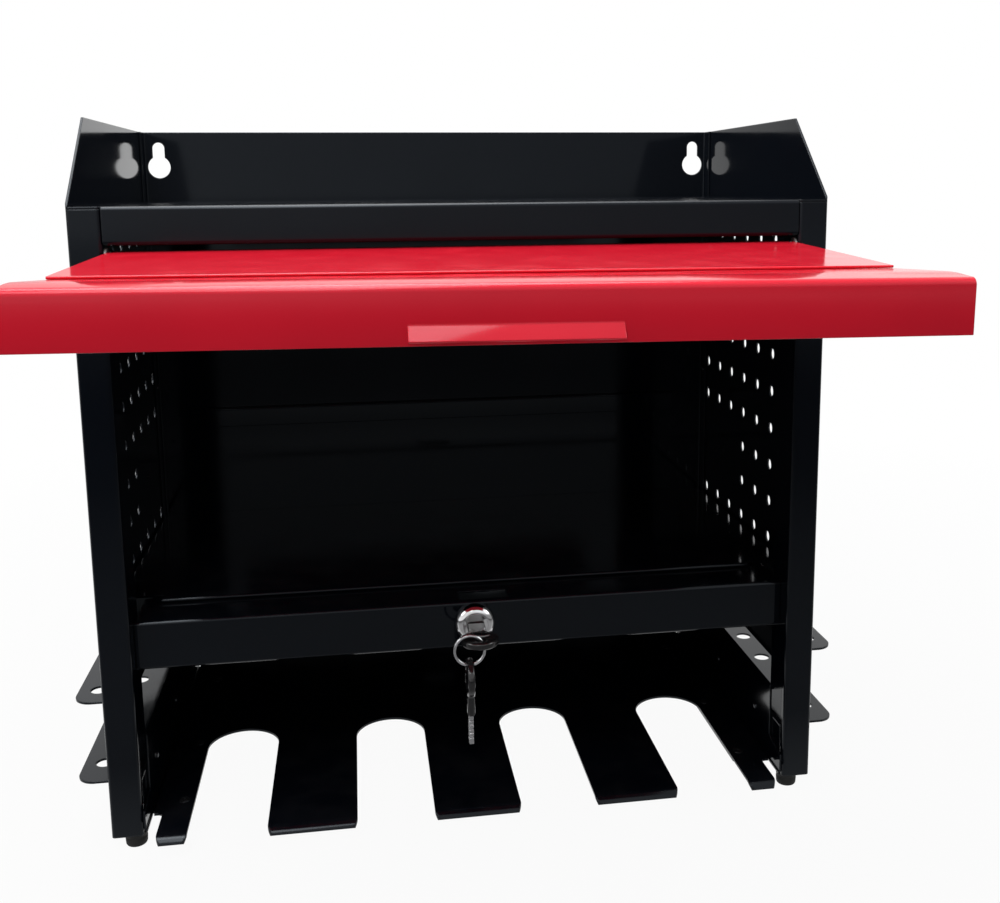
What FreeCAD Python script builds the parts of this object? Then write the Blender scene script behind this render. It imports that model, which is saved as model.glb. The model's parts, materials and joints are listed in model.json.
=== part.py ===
import FreeCAD, Part
import math
import os

# A wall-mounted tool shelf of folded, powder-coated steel sheet. An open-fronted
# cabinet with perforated sides carries a tray on top, a slotted fork shelf below
# and two drilled racks on each side. A red door hinges under the front header and
# is locked to the rail below the opening.
#
# All lengths are in millimetres and all angles in degrees. X runs to the right,
# Y runs back towards the wall and Z runs up. While it is modelled, Y = 0 is the
# front face of the posts and Z = 0 is their lower end. At the end everything is
# moved so that the origin is the middle of the footprint, on the ground.

# Cabinet
width = 405.0
depth = 222.0
front_height = 345.0
back_height = 392.0
sheet = 1.2
bend = 0.8
coat = 0.1

# Side panels with their front posts
post_width = 17.0
return_depth = 23.0
return_end_front = 54.0
return_end_rear = 45.0
return_root = 5.0
wing_slope = 50.0
side_bottom = 49.0
rear_leg = 20.0
foot_tab_depth = 19.0

# Perforation of the side panels
hole_radius = 3.5
hole_column_pitch = 26.0
hole_row_pitch = 24.1
hole_front = 50.4
hole_top_drop = 25.7
plain_row_count = 2
plain_column_count = 3

# Back panel with its keyholes
back_bottom = 3.0
back_flange = 11.0
keyhole_inset = 12.0
keyhole_head_drop = 23.5
keyhole_head_radius = 7.5
keyhole_slot_radius = 4.0
keyhole_slot_drop = 6.8
stiffener_inset = 24.5
stiffener_top = 198.0
stiffener_height = 14.0
stiffener_flange = 4.0

# Top tray and front header
header_height = 19.8
header_flange = 12.0
tray_flange_front = 30.0
tray_flange_rear_gap = 22.0
tray_flange_height = 12.0
seam_notch = 1.2
seam_notch_depth = 4.0

# Lock rail below the opening
rail_front = 11.0
rail_top = 119.6
rail_height = 27.6
rail_top_flange = 37.0
rail_bottom_flange = 12.0
cam_slot_left = -8.0
cam_slot_right = 20.0
cam_slot_margin = 1.0

# Cabinet floor
floor_front = 39.2
floor_front_inset = 10.4
floor_shoulder = 50.0
floor_hem = 8.0
floor_flange = 12.0

# Brackets that carry the fork shelf
bracket_bottom = 1.5
bracket_top = 50.0
bracket_front = 1.5
bracket_wall_front = 20.0
bracket_toe_front = 13.0
bracket_toe_rear = 18.0
bracket_ledge_setback = 0.3
bracket_rear_flange = 13.0
bracket_rear_flange_bottom = 5.0
bracket_rear_flange_top = 48.0

# Fork shelf
fork_sheet = 1.5
fork_reach = 12.6
fork_tip_drop = 4.0
fork_tip_run = 2.5
fork_slot_width = 43.5
fork_slot_rear = 110.0
fork_slots = 4
fork_tip_radius = 4.5
fork_outer_gap = 6.7
fork_outer_tine = 16.4
fork_side_gap = 2.0
fork_shoulder = 15.0
fork_shoulder_radius = 2.7

# Side racks, drilled for screwdrivers
rack_reach = 18.0
upper_rack_front = 11.0
rack_rear_gap = 2.0
upper_rack_leg = 15.0
lower_rack_leg = 22.0
rack_corner_radius = 10.0
rack_hole_radius = 5.0
rack_hole_pitch = 37.0
rack_hole_land = 4.0
rack_hole_front = 27.0
rack_hole_inset = 11.5
upper_rack_top = 75.6
lower_rack_top = 31.6
lower_rack_setback = 0.6
rack_notch_gap = 0.5

# Feet and their screws
foot_radius = 6.0
foot_height = 7.0
foot_inset = 12.0
front_foot_y = 6.5
rear_foot_inset = 10.5
foot_recess_radius = 3.4
foot_recess_depth = 3.0
foot_screw_radius = 1.5
foot_screw_head_radius = 3.0
foot_screw_head_height = 1.8
foot_screw_end = 5.0

# Rivets
rivet_radius = 1.6
rivet_head_radius = 3.2
rivet_head_height = 1.0
rivet_tail_radius = 2.4
rivet_tail_height = 1.0
fork_rivet_inset = 18.4
fork_rivet_front = 27.0
fork_rivet_middle = 96.0
fork_rivet_rear_gap = 32.0
back_rivet_low = 70.0
back_rivet_middle = 215.0
back_rivet_top_drop = 15.0
floor_rivet_front = 90.0
floor_rivet_rear_gap = 42.0
bracket_rivet_margin = 10.0
back_rivet_inset = 5.5
flange_rivet_drop = 6.0
bracket_rivet_inset = 7.0

# Door, drawn about its hinge line with the panel level
hinge_y = 5.0
hinge_drop = 26.0
door_droop = 2.0
door_side_gap = 1.5
door_top = 2.9
door_rear = 3.6
door_strip = 71.0
door_lap = 12.0
strip_crown_setback = 18.0
strip_crown_rise = 3.6
strip_crown_radius = 110.0
door_bottom_gap = 6.4
lip_top = 5.8
lip_height = 23.0
lip_lean = 0.8
strip_bend = 2.0
end_cap_height = 6.0
ear_length = 25.0
ear_depth = 6.0
pull_half = 41.0
pull_root = 14.2
pull_rise = 6.6
pull_reach = 4.6
pull_seat = 0.6

# Door pins and washers
pin_radius = 2.5
pin_clearance = 0.05
pin_head_radius = 4.2
pin_head_height = 1.5
pin_tail_radius = 3.0
pin_tail_height = 1.4
pin_head_clearance = 0.4
washer_radius = 5.0
washer_play = 0.1

# Cam lock, on a line along Y near the middle of the rail
lock_x = 1.7
lock_z = 107.2
bezel_radius = 11.3
bezel_height = 6.0
bezel_rim = 1.6
bezel_fullness = 0.9
bezel_face_radius = 7.4
lock_body_radius = 8.0
lock_body_rear = 25.0
plug_radius = 6.0
plug_clearance = 0.05
plug_collar_radius = 7.0
plug_collar_height = 0.8
plug_tail = 1.0
nut_across_flats = 20.0
nut_height = 3.0
cam_sheet = 1.2
cam_half = 4.0
cam_reach = 16.4
cam_hub = 7.5
cam_crank_start = 9.6
cam_crank_end = 13.0
cam_tip_front = 15.6
cam_screw_radius = 1.5
cam_screw_length = 3.2
cam_screw_head_radius = 3.4
cam_screw_head_height = 1.8

# Keys and the ring that joins them
key_head_radius = 10.5
key_head_length = 31.0
key_head_thickness = 4.6
key_neck_half = 5.0
key_hole_radius = 3.2
key_hole_inset = 5.0
key_blade_length = 17.0
key_blade_half = 3.4
key_blade_thickness = 2.4
key_blade_tip = 2.0
key_tang_half = 2.5
key_tang_length = 12.0
key_tang_clearance = 0.03
keyway_clearance = 0.2
key_shoulder_gap = 0.3
ring_radius = 8.2
ring_wire = 0.8
ring_offset = 6.3
ring_drop = 3.2
spare_play = 0.6

# Sizes that follow from those above
half = width / 2.0
wall_inner = half - sheet
post_inner = half - post_width
post_top = front_height - sheet - coat
back_inner = depth - sheet
flange_outer = wall_inner - coat
flange_inner = flange_outer - sheet
rail_half = post_inner - coat
rail_bottom = rail_top - rail_height
rail_rear = rail_front + rail_top_flange
floor_front_half = rail_half - floor_front_inset
stiffener_half = half - stiffener_inset
hole_top = front_height - hole_top_drop
hole_columns = int((depth - back_flange - hole_radius - hole_front) / hole_column_pitch) + 1
hole_rows = int((hole_top - rail_top - hole_radius) / hole_row_pitch) + 1
plain_columns = range(hole_columns - plain_column_count, hole_columns)
plain_rows = range(hole_rows - plain_row_count - 1, hole_rows - 1)
panel_rivet_y = hole_front + (plain_columns[0] + 0.5) * hole_column_pitch
panel_rivet_z = hole_top - (plain_rows[0] + 0.5) * hole_row_pitch
keyhole_x = half - keyhole_inset
keyhole_head_z = back_height - keyhole_head_drop
keyhole_slot_top = back_height - keyhole_slot_drop
tray_flange_rear = depth - tray_flange_rear_gap
foot_x = half - foot_inset
rear_foot_y = depth - rear_foot_inset
hinge_z = front_height - hinge_drop
door_half = post_inner - door_side_gap
door_front = hinge_z - rail_top - door_bottom_gap
door_crease = door_front - door_strip
strip_crown_s = door_front - strip_crown_setback
tray_rear = back_inner - coat
header_bottom = front_height - header_height
floor_bottom = rail_top + coat
floor_top = floor_bottom + sheet
bracket_outer = post_inner - coat
bracket_inner = bracket_outer - sheet
fork_bottom = bracket_bottom + sheet + coat
fork_top = fork_bottom + fork_sheet
fork_half = bracket_inner - fork_side_gap
fork_outer_half = bracket_inner - fork_outer_gap
fork_slot_edge = fork_outer_half - fork_outer_tine
fork_slot_pitch = (2.0 * fork_slot_edge - fork_slot_width) / (fork_slots - 1)
bracket_ledge = bracket_outer - fork_slot_edge - bracket_ledge_setback
fork_rivet_x = bracket_outer - fork_rivet_inset
fork_rivet_rows = (fork_rivet_front, fork_rivet_middle, depth - fork_rivet_rear_gap)
rack_rear = depth - rear_leg - rack_rear_gap
lower_rack_front = return_root + lower_rack_setback
rack_holes = int((rack_rear - rack_hole_front - rack_hole_radius - rack_hole_land) / rack_hole_pitch) + 1
rack_rivet_steps = (0.5, rack_holes // 2 + 0.5, rack_holes - 1)
rack_rivet_rows = [rack_hole_front + step * rack_hole_pitch for step in rack_rivet_steps]
back_rivet_rows = (back_rivet_low, back_rivet_middle, front_height - back_rivet_top_drop)
floor_rivet_rows = (floor_rivet_front, depth - floor_rivet_rear_gap)
tray_rivet_rows = (hole_front + hole_column_pitch / 2.0, panel_rivet_y)
bracket_rivet_rows = (bracket_rear_flange_bottom + bracket_rivet_margin,
                      bracket_rear_flange_top - bracket_rivet_margin)
hole_gap = coat
ORIGIN = FreeCAD.Vector(0, 0, 0)
AXIS_X = FreeCAD.Vector(1, 0, 0)
AXIS_Y = FreeCAD.Vector(0, 1, 0)
AXIS_Z = FreeCAD.Vector(0, 0, 1)


def place(plane, u, v, w):
    """Turn flat coordinates on a named plane, and a distance from it, into a point."""
    if plane == "XY":
        return FreeCAD.Vector(u, v, w)
    if plane == "XZ":
        return FreeCAD.Vector(u, w, v)
    return FreeCAD.Vector(w, u, v)


def block(x0, x1, y0, y1, z0, z1):
    """A box between two corners."""
    return Part.makeBox(x1 - x0, y1 - y0, z1 - z0, FreeCAD.Vector(x0, y0, z0))


def rod(x, y, z, radius, length, axis):
    """A cylinder that starts at a point and runs along an axis."""
    return Part.makeCylinder(radius, length, FreeCAD.Vector(x, y, z), axis)


def rounded_face(corners, plane, offset):
    """A flat face from corners (u, v, radius), each rounded with its own radius."""
    edges = []
    stops = []
    count = len(corners)
    for index, (u, v, radius) in enumerate(corners):
        here = FreeCAD.Vector(u, v, 0)
        before = FreeCAD.Vector(corners[index - 1][0], corners[index - 1][1], 0)
        after = FreeCAD.Vector(corners[(index + 1) % count][0], corners[(index + 1) % count][1], 0)
        back = (before - here).normalize()
        ahead = (after - here).normalize()
        if radius <= 0:
            stops.append((here, None, here))
            continue
        opening = back.getAngle(ahead)
        run = radius / math.tan(opening / 2.0)
        bisector = (back + ahead).normalize()
        centre = here + bisector * (radius / math.sin(opening / 2.0))
        stops.append((here + back * run, centre - bisector * radius, here + ahead * run))
    for index, (start, middle, end) in enumerate(stops):
        points = [place(plane, p.x, p.y, offset) if p else None for p in (start, middle, end)]
        following = stops[(index + 1) % count][0]
        following = place(plane, following.x, following.y, offset)
        if points[1]:
            edges.append(Part.Arc(points[0], points[1], points[2]).toShape())
        if points[2].distanceToPoint(following) > 1e-6:
            edges.append(Part.LineSegment(points[2], following).toShape())
    return Part.Face(Part.Wire(edges))


def rounded_plate(corners, plane, start, length):
    """A plate with rounded corners, drawn on a plane and extruded square to it."""
    face = rounded_face(corners, plane, start)
    return face.extrude(place(plane, 0, 0, length))


def plate(points, plane, start, length):
    """A plate with sharp corners, drawn on a plane and extruded square to it."""
    return rounded_plate([(u, v, 0) for u, v in points], plane, start, length)


def folded(points, plane, start, length, thickness, radii):
    """Bent sheet of one cross section.

    The points are one face of the sheet and its thickness lies to the left of the
    path. Each inner point has the bend radius on the inside of its fold.
    """
    path = [FreeCAD.Vector(u, v, 0) for u, v in points]
    normals = []
    for first, second in zip(path, path[1:]):
        along = (second - first).normalize()
        normals.append(FreeCAD.Vector(-along.y, along.x, 0))
    near = [(path[0].x, path[0].y, 0)]
    first_far = path[0] + normals[0] * thickness
    far = [(first_far.x, first_far.y, 0)]
    for index, radius in enumerate(radii):
        before = normals[index]
        after = normals[index + 1]
        corner = path[index + 1]
        mitre = (before + after) * (thickness / (1.0 + before.dot(after)))
        turns_left = before.x * after.y - before.y * after.x > 0
        near.append((corner.x, corner.y, radius + thickness if turns_left else radius))
        far.append((corner.x + mitre.x, corner.y + mitre.y, radius if turns_left else radius + thickness))
    last_far = path[-1] + normals[-1] * thickness
    near.append((path[-1].x, path[-1].y, 0))
    far.append((last_far.x, last_far.y, 0))
    return rounded_plate(near + far[::-1], plane, start, length)


def dome(radius, height, point, axis):
    """A round cap whose flat side lies on a point and whose crown faces along an axis."""
    sphere = (radius * radius + height * height) / (2.0 * height)
    angle = math.asin(radius / sphere) / 2.0
    crown = height - sphere
    rim = FreeCAD.Vector(radius, 0, 0)
    middle = FreeCAD.Vector(sphere * math.sin(angle), 0, crown + sphere * math.cos(angle))
    top = FreeCAD.Vector(0, 0, height)
    edges = [
        Part.LineSegment(ORIGIN, rim).toShape(),
        Part.Arc(rim, middle, top).toShape(),
        Part.LineSegment(top, ORIGIN).toShape(),
    ]
    solid = Part.Face(Part.Wire(edges)).revolve(ORIGIN, AXIS_Z, 360)
    return stood(solid, point, axis)


def stood(solid, point, axis):
    """Stand a solid drawn along Z on a point, facing along an axis."""
    turn = FreeCAD.Rotation(AXIS_Z, axis)
    placed = solid.copy()
    placed.Placement = FreeCAD.Placement(point, turn)
    return placed


def mirrored(shape):
    """The same piece for the left side."""
    return shape.mirror(ORIGIN, AXIS_X)


def rivet(x, y, z, axis, grip, flush=False):
    """A rivet whose head sits on a point and whose shank runs along an axis, to a tail or flush."""
    head = FreeCAD.Vector(x, y, z)
    tail = head + axis * grip
    shank = Part.makeCylinder(rivet_radius, grip, head, axis)
    ends = [dome(rivet_head_radius, rivet_head_height, head, axis * -1)]
    if not flush:
        ends.append(dome(rivet_tail_radius, rivet_tail_height, tail, axis))
    return shank.fuse(ends).removeSplitter()


def rivet_hole(x, y, z, axis, grip, flush=False):
    """The hole that a rivet of the same place and grip runs through."""
    start = FreeCAD.Vector(x, y, z) - axis
    return Part.makeCylinder(rivet_radius + hole_gap, grip + 2.0, start, axis)


def side_rivets():
    """Places of the rivets that run through the right-hand panel, with their grips."""
    lap = 2.0 * sheet + coat
    inward = AXIS_X * -1
    spots = [(half, panel_rivet_y, panel_rivet_z, inward, sheet)]
    for z in back_rivet_rows:
        spots.append((half, depth - back_rivet_inset, z, inward, lap))
    for y in floor_rivet_rows:
        spots.append((half, y, floor_top - flange_rivet_drop, inward, lap))
    for y in tray_rivet_rows:
        spots.append((half, y, front_height - flange_rivet_drop, inward, lap))
    return spots


def bracket_rivets():
    """Places of the rivets that hold the right-hand bracket to the back panel, flush at the wall."""
    x = bracket_outer + bracket_rivet_inset
    y = back_inner - coat - sheet
    return [(x, y, z, AXIS_Y, 2.0 * sheet + coat, True) for z in bracket_rivet_rows]


def rack_rivets():
    """Places of the rivets that hold the right-hand racks."""
    lap = 2.0 * sheet + coat
    inward = AXIS_X * -1
    spots = []
    for y in rack_rivet_rows:
        spots.append((half + coat + sheet, y, upper_rack_top - upper_rack_leg / 2.0, inward, lap))
        spots.append((bracket_outer + coat + sheet, y, lower_rack_top - upper_rack_leg / 2.0, inward, lap))
    return spots


def fork_rivets():
    """Places of the rivets that hold the fork shelf to the right-hand bracket."""
    grip = fork_sheet + coat + sheet
    return [(fork_rivet_x, y, fork_top, AXIS_Z * -1, grip) for y in fork_rivet_rows]


def holes_for(spots):
    """One group of rivet holes."""
    return Part.makeCompound([rivet_hole(*spot) for spot in spots])


def foot_places():
    """Middles of the feet on the right-hand side."""
    return [(foot_x, front_foot_y), (foot_x, rear_foot_y)]


def perforation():
    """The round holes of one side panel, with a plain patch near the back."""
    holes = []
    for row in range(hole_rows):
        for column in range(hole_columns):
            if row in plain_rows and column in plain_columns:
                continue
            y = hole_front + column * hole_column_pitch
            z = hole_top - row * hole_row_pitch
            holes.append(rod(wall_inner - 1.0, y, z, hole_radius, sheet + 2.0, AXIS_X))
    return Part.makeCompound(holes)


def side_panel():
    """The right-hand side: wall, wing, front post and the flange that returns into the opening."""
    path = [(post_inner, return_depth), (post_inner, 0), (half, 0), (half, depth)]
    panel = folded(path, "XY", 0, back_height, sheet, [bend, bend])
    slope = [(-1, front_height), (0, front_height), (wing_slope, back_height),
             (wing_slope, back_height + 1), (-1, back_height + 1)]
    return_end = [(return_root, -1), (return_root, return_end_front),
                  (return_depth + 1, return_end_rear), (return_depth + 1, -1)]
    cuts = [
        plate(slope, "YZ", 0, half + 1),
        block(post_inner - 1, wall_inner, -1, return_depth + 1, post_top, back_height + 1),
        block(wall_inner - 1, half + 1, return_depth, depth - rear_leg, -1, side_bottom),
        plate(return_end, "YZ", post_inner - 1, sheet + 2),
        rod(post_inner - 1, hinge_y, hinge_z, pin_radius + pin_clearance, sheet + 2, AXIS_X),
        perforation(),
        holes_for(side_rivets() + rack_rivets()[::2]),
    ]
    panel = panel.cut(cuts)
    tabs = [
        block(post_inner, wall_inner, sheet, foot_tab_depth, 0, sheet),
        block(post_inner + coat, wall_inner, depth - rear_leg, back_inner - coat, 0, sheet),
    ]
    screws = [rod(x, y, -1, foot_screw_radius + hole_gap, sheet + 2, AXIS_Z) for x, y in foot_places()]
    return panel.fuse(tabs).removeSplitter().cut(screws)


def back_corners(low, high):
    """The notches that a flat sheet needs round the flanges of the back panel."""
    notches = []
    for side in (-1, 1):
        inner, outer = sorted((side * (flange_inner - bend - coat), side * half))
        notches.append(block(inner, outer, depth - back_flange - coat, depth, low, high))
    return notches


def back_panel():
    """The wall side, with a flange forward on each edge and two keyholes at the top."""
    path = [(flange_outer, depth - back_flange), (flange_outer, depth),
            (-flange_outer, depth), (-flange_outer, depth - back_flange)]
    panel = folded(path, "XY", back_bottom, back_height - back_bottom, sheet, [bend, bend])
    cuts = []
    for x in (-keyhole_x, keyhole_x):
        slot_z = keyhole_slot_top - keyhole_slot_radius
        cuts.append(rod(x, back_inner - 1, keyhole_head_z, keyhole_head_radius, sheet + 2, AXIS_Y))
        cuts.append(rod(x, back_inner - 1, slot_z, keyhole_slot_radius, sheet + 2, AXIS_Y))
        cuts.append(block(x - keyhole_slot_radius, x + keyhole_slot_radius,
                          back_inner - 1, depth + 1, keyhole_head_z, slot_z))
    holes = holes_for(side_rivets() + bracket_rivets())
    return panel.cut(cuts + [holes, mirrored(holes)])


def rear_stiffener():
    """A small angle along the inside of the back panel."""
    rear = back_inner - coat
    path = [(rear, stiffener_top - stiffener_height), (rear, stiffener_top),
            (rear - stiffener_flange, stiffener_top)]
    return folded(path, "YZ", -stiffener_half, 2 * stiffener_half, sheet, [bend])


def top_tray():
    """The tray floor, which folds down into the header over the door."""
    path = [(tray_rear, front_height), (0, front_height), (0, header_bottom),
            (header_flange, header_bottom)]
    tray = folded(path, "YZ", -rail_half, 2 * rail_half, sheet, [bend, bend])
    ends = []
    notches = []
    for side in (-1, 1):
        inner, outer = sorted((side * (rail_half - 1), side * flange_outer))
        ends.append(block(inner, outer, bend + sheet, tray_rear, front_height - sheet, front_height))
        inner, outer = sorted((side * (rail_half + seam_notch), side * flange_outer))
        ends.append(block(inner, outer, 0, tray_rear, front_height - sheet, front_height))
        inner, outer = sorted((side * flange_inner, side * flange_outer))
        ends.append(block(inner, outer, tray_flange_front, tray_flange_rear,
                          front_height - tray_flange_height, front_height))
        inner, outer = sorted((side * rail_half, side * (rail_half + seam_notch)))
        notches.append(block(inner, outer, -1, seam_notch_depth, header_bottom, front_height + 1))
    holes = holes_for(side_rivets())
    notches += back_corners(front_height - tray_flange_height - 1, front_height + 1)
    return tray.fuse(ends).removeSplitter().cut(notches + [holes, mirrored(holes)])


def lock_rail():
    """The rail below the opening, welded between the posts."""
    path = [(rail_rear, rail_top), (rail_front, rail_top), (rail_front, rail_bottom),
            (rail_front + rail_bottom_flange, rail_bottom)]
    rail = folded(path, "YZ", -rail_half, 2 * rail_half, sheet, [bend, bend])
    tabs = []
    for side in (-1, 1):
        inner, outer = sorted((side * (rail_half - sheet), side * rail_half))
        tabs.append(block(inner, outer, rail_front + sheet / 2, return_depth,
                          rail_bottom + sheet / 2, rail_top - sheet / 2))
    cam_rear = lock_body_rear + plug_tail + coat + cam_sheet
    slot = block(lock_x + cam_slot_left, lock_x + cam_slot_right, cam_tip_front - cam_slot_margin,
                 cam_rear + cam_slot_margin, rail_top - sheet - 1, rail_top + 1)
    hole = rod(lock_x, rail_front - 1, lock_z, lock_body_radius + hole_gap, sheet + 2, AXIS_Y)
    return rail.fuse(tabs).removeSplitter().cut([slot, hole])


def cabinet_floor():
    """The floor pan, with a hemmed front edge and a flange down each side."""
    rear = back_inner - coat
    path = [(flange_outer, floor_top - floor_flange), (flange_outer, floor_top),
            (-flange_outer, floor_top), (-flange_outer, floor_top - floor_flange)]
    pan = folded(path, "XZ", floor_shoulder, rear - floor_shoulder, sheet, [bend, bend])
    fold_y = floor_front + sheet
    front = block(-floor_front_half, floor_front_half, fold_y, floor_shoulder + 1, floor_bottom, floor_top)
    hem = block(-floor_front_half, floor_front_half, fold_y, floor_front + floor_hem,
                floor_bottom, floor_top + sheet)
    nose = rod(-floor_front_half, fold_y, floor_top, sheet, 2 * floor_front_half, AXIS_X)
    holes = holes_for(side_rivets())
    corners = back_corners(floor_bottom - floor_flange, floor_top + 1)
    return pan.fuse([front, hem, nose]).removeSplitter().cut(corners + [holes, mirrored(holes)])


def lower_bracket():
    """The right-hand bracket: a wall that hangs from the back and a ledge under the fork shelf."""
    rear = back_inner - coat
    path = [(bracket_outer - bracket_ledge, bracket_bottom), (bracket_outer, bracket_bottom),
            (bracket_outer, bracket_top)]
    bracket = folded(path, "XZ", bracket_front, rear - bracket_front, sheet, [bend])
    toe = [(bracket_front - 1, bracket_toe_front), (bracket_wall_front, bracket_toe_rear),
           (bracket_wall_front, bracket_top + 1), (bracket_front - 1, bracket_top + 1)]
    ledge_end = bracket_inner - bend
    cuts = [
        plate(toe, "YZ", bracket_inner - 1, sheet + 2),
        block(bracket_outer - bracket_ledge - 1, ledge_end, bracket_front - 1, bracket_wall_front,
              bracket_bottom - 1, bracket_bottom + sheet + 1),
    ]
    flange = block(bracket_inner, bracket_outer + bracket_rear_flange, rear - sheet, rear,
                   bracket_rear_flange_bottom, bracket_rear_flange_top)
    holes = holes_for(bracket_rivets() + rack_rivets()[1::2] + fork_rivets())
    return bracket.cut(cuts).fuse(flange).removeSplitter().cut(holes)


def fork_shelf():
    """The slotted shelf on which tools hang, with tips that curl down a little."""
    rear = back_inner - coat
    path = [(rear, fork_top), (fork_tip_run - fork_reach, fork_top),
            (-fork_reach, fork_top - fork_tip_drop)]
    shelf = folded(path, "YZ", -fork_half, 2 * fork_half, fork_sheet, [2 * fork_tip_run])
    front = -fork_reach - 1.0
    tips = []
    inner = fork_slot_width / 2.0
    half_count = fork_slots // 2
    centres = [(index + 0.5) * fork_slot_pitch for index in range(half_count)]
    edges = [0.0]
    for centre in centres:
        edges.extend([centre - inner, centre + inner])
    edges.append(fork_outer_half)
    shelf_low = fork_top - fork_sheet - fork_tip_drop - 1
    depth_of_cut = fork_sheet + fork_tip_drop + 2
    cuts = []
    for side in (-1, 1):
        for centre in centres:
            x = side * centre
            slot_y = fork_slot_rear - inner
            cuts.append(rod(x, slot_y, shelf_low, inner, depth_of_cut, AXIS_Z))
            cuts.append(block(x - inner, x + inner, front, slot_y, shelf_low, shelf_low + depth_of_cut))
        shoulder = [
            (side * fork_outer_half, front, 0),
            (side * fork_outer_half, fork_shoulder, fork_shoulder_radius),
            (side * (fork_half + 1), fork_shoulder, 0),
            (side * (fork_half + 1), front, 0),
        ]
        cuts.append(rounded_plate(shoulder, "XY", shelf_low, depth_of_cut))
    tip_y = -fork_reach
    for edge in sorted({-e for e in edges[1:]} | set(edges[1:])):
        towards = 1 if is_left_edge(edge, edges) else -1
        tips.append(tip_corner(edge, towards, tip_y, shelf_low, depth_of_cut))
    holes = holes_for(fork_rivets())
    return shelf.cut(cuts + tips + [holes, mirrored(holes)])


def is_left_edge(edge, edges):
    """Whether a tine lies to the right of this edge."""
    order = edges.index(abs(edge))
    opens = order % 2 == 0
    return opens if edge > 0 else not opens


def tip_corner(edge, towards, tip_y, low, height):
    """The waste outside the rounded corner of a tine."""
    r = fork_tip_radius
    waste = block(min(edge, edge + towards * r), max(edge, edge + towards * r),
                  tip_y - 1, tip_y + r, low, low + height)
    keep = rod(edge + towards * r, tip_y + r, low - 1, r, height + 2, AXIS_Z)
    return waste.cut(keep)


def side_rack(inner, outer, front, top, leg):
    """A right-hand rack: a leg on the carrying sheet and a drilled shelf outwards."""
    path = [(outer, top), (inner, top), (inner, top - leg)]
    rack = folded(path, "XZ", front, rack_rear - front, sheet, [bend])
    low = top - leg - 1
    height = leg + 2
    cuts = [rod(outer - rack_hole_inset, rack_hole_front + index * rack_hole_pitch, low,
                rack_hole_radius, height, AXIS_Z) for index in range(rack_holes)]
    for y, turn in ((front, 1), (rack_rear, -1)):
        r = rack_corner_radius
        waste = block(outer - r, outer + 1, min(y - turn, y + turn * r), max(y - turn, y + turn * r),
                      top - sheet - 1, top + 1)
        cuts.append(waste.cut(rod(outer - r, y + turn * r, top - sheet - 2, r, sheet + 4, AXIS_Z)))
    return rack.cut(cuts + [holes_for(rack_rivets())])


def upper_rack():
    """The rack on the outside of the side panel."""
    return side_rack(half + coat, half + coat + rack_reach, upper_rack_front, upper_rack_top, upper_rack_leg)


def lower_rack():
    """The rack on the bracket, notched round the strip of side panel behind the post."""
    reach = half + coat + rack_reach
    rack = side_rack(bracket_outer + coat, reach, lower_rack_front, lower_rack_top, lower_rack_leg)
    notch = block(wall_inner - rack_notch_gap, half + rack_notch_gap, lower_rack_front - 1,
                  return_depth + rack_notch_gap, lower_rack_top - sheet - 1, lower_rack_top + 1)
    return rack.cut(notch)


def foot(x, y):
    """A rubber foot with a recess for its screw."""
    body = rod(x, y, -foot_height, foot_radius, foot_height, AXIS_Z)
    edges = [edge for edge in body.Edges if edge.BoundBox.ZMax < -foot_height + 0.01]
    body = body.makeChamfer(foot_radius / 10.0, edges)
    recess = rod(x, y, -foot_height - 1, foot_recess_radius, foot_recess_depth + 1, AXIS_Z)
    bore = rod(x, y, -foot_height, foot_screw_radius + hole_gap, foot_height + 1, AXIS_Z)
    return body.cut([recess, bore])


def foot_screw(x, y):
    """The screw that holds a foot to its tab."""
    seat = foot_recess_depth - foot_height
    head = rod(x, y, seat - foot_screw_head_height, foot_screw_head_radius, foot_screw_head_height, AXIS_Z)
    shank = rod(x, y, seat, foot_screw_radius, foot_screw_end - seat, AXIS_Z)
    return head.fuse(shank).removeSplitter()


def hung(shape):
    """Bring a door piece from its own drawing to its open place under the header."""
    placed = shape.copy()
    placed.rotate(ORIGIN, AXIS_X, door_droop)
    placed.translate(FreeCAD.Vector(0, hinge_y, hinge_z))
    return placed


def door_panel():
    """The flat of the door with an ear folded down at each end for the pins."""
    flat = block(-door_half, door_half, -door_crease, door_rear, door_top - sheet, door_top)
    ear = [(door_rear, door_top, 0), (door_rear, -ear_depth / 2, 0), (0, -ear_depth, 2),
           (-ear_length * 0.7, -ear_depth, 3), (-ear_length, door_top, 0)]
    ears = []
    for start in (-door_half, door_half - sheet):
        ears.append(rounded_plate(ear, "YZ", start, sheet))
    cuts = [rod(-half, 0, 0, pin_radius + pin_clearance, width, AXIS_X)]
    room = pin_head_radius + pin_head_clearance
    for side in (-1, 1):
        head_end = door_half - sheet - coat - pin_head_height - pin_head_clearance
        inner, outer = sorted((side * head_end, side * (door_half - sheet)))
        cuts.append(block(inner, outer, -room, door_rear + 1, 0, door_top + 1))
    return hung(flat.fuse(ears).removeSplitter().cut(cuts))


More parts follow.
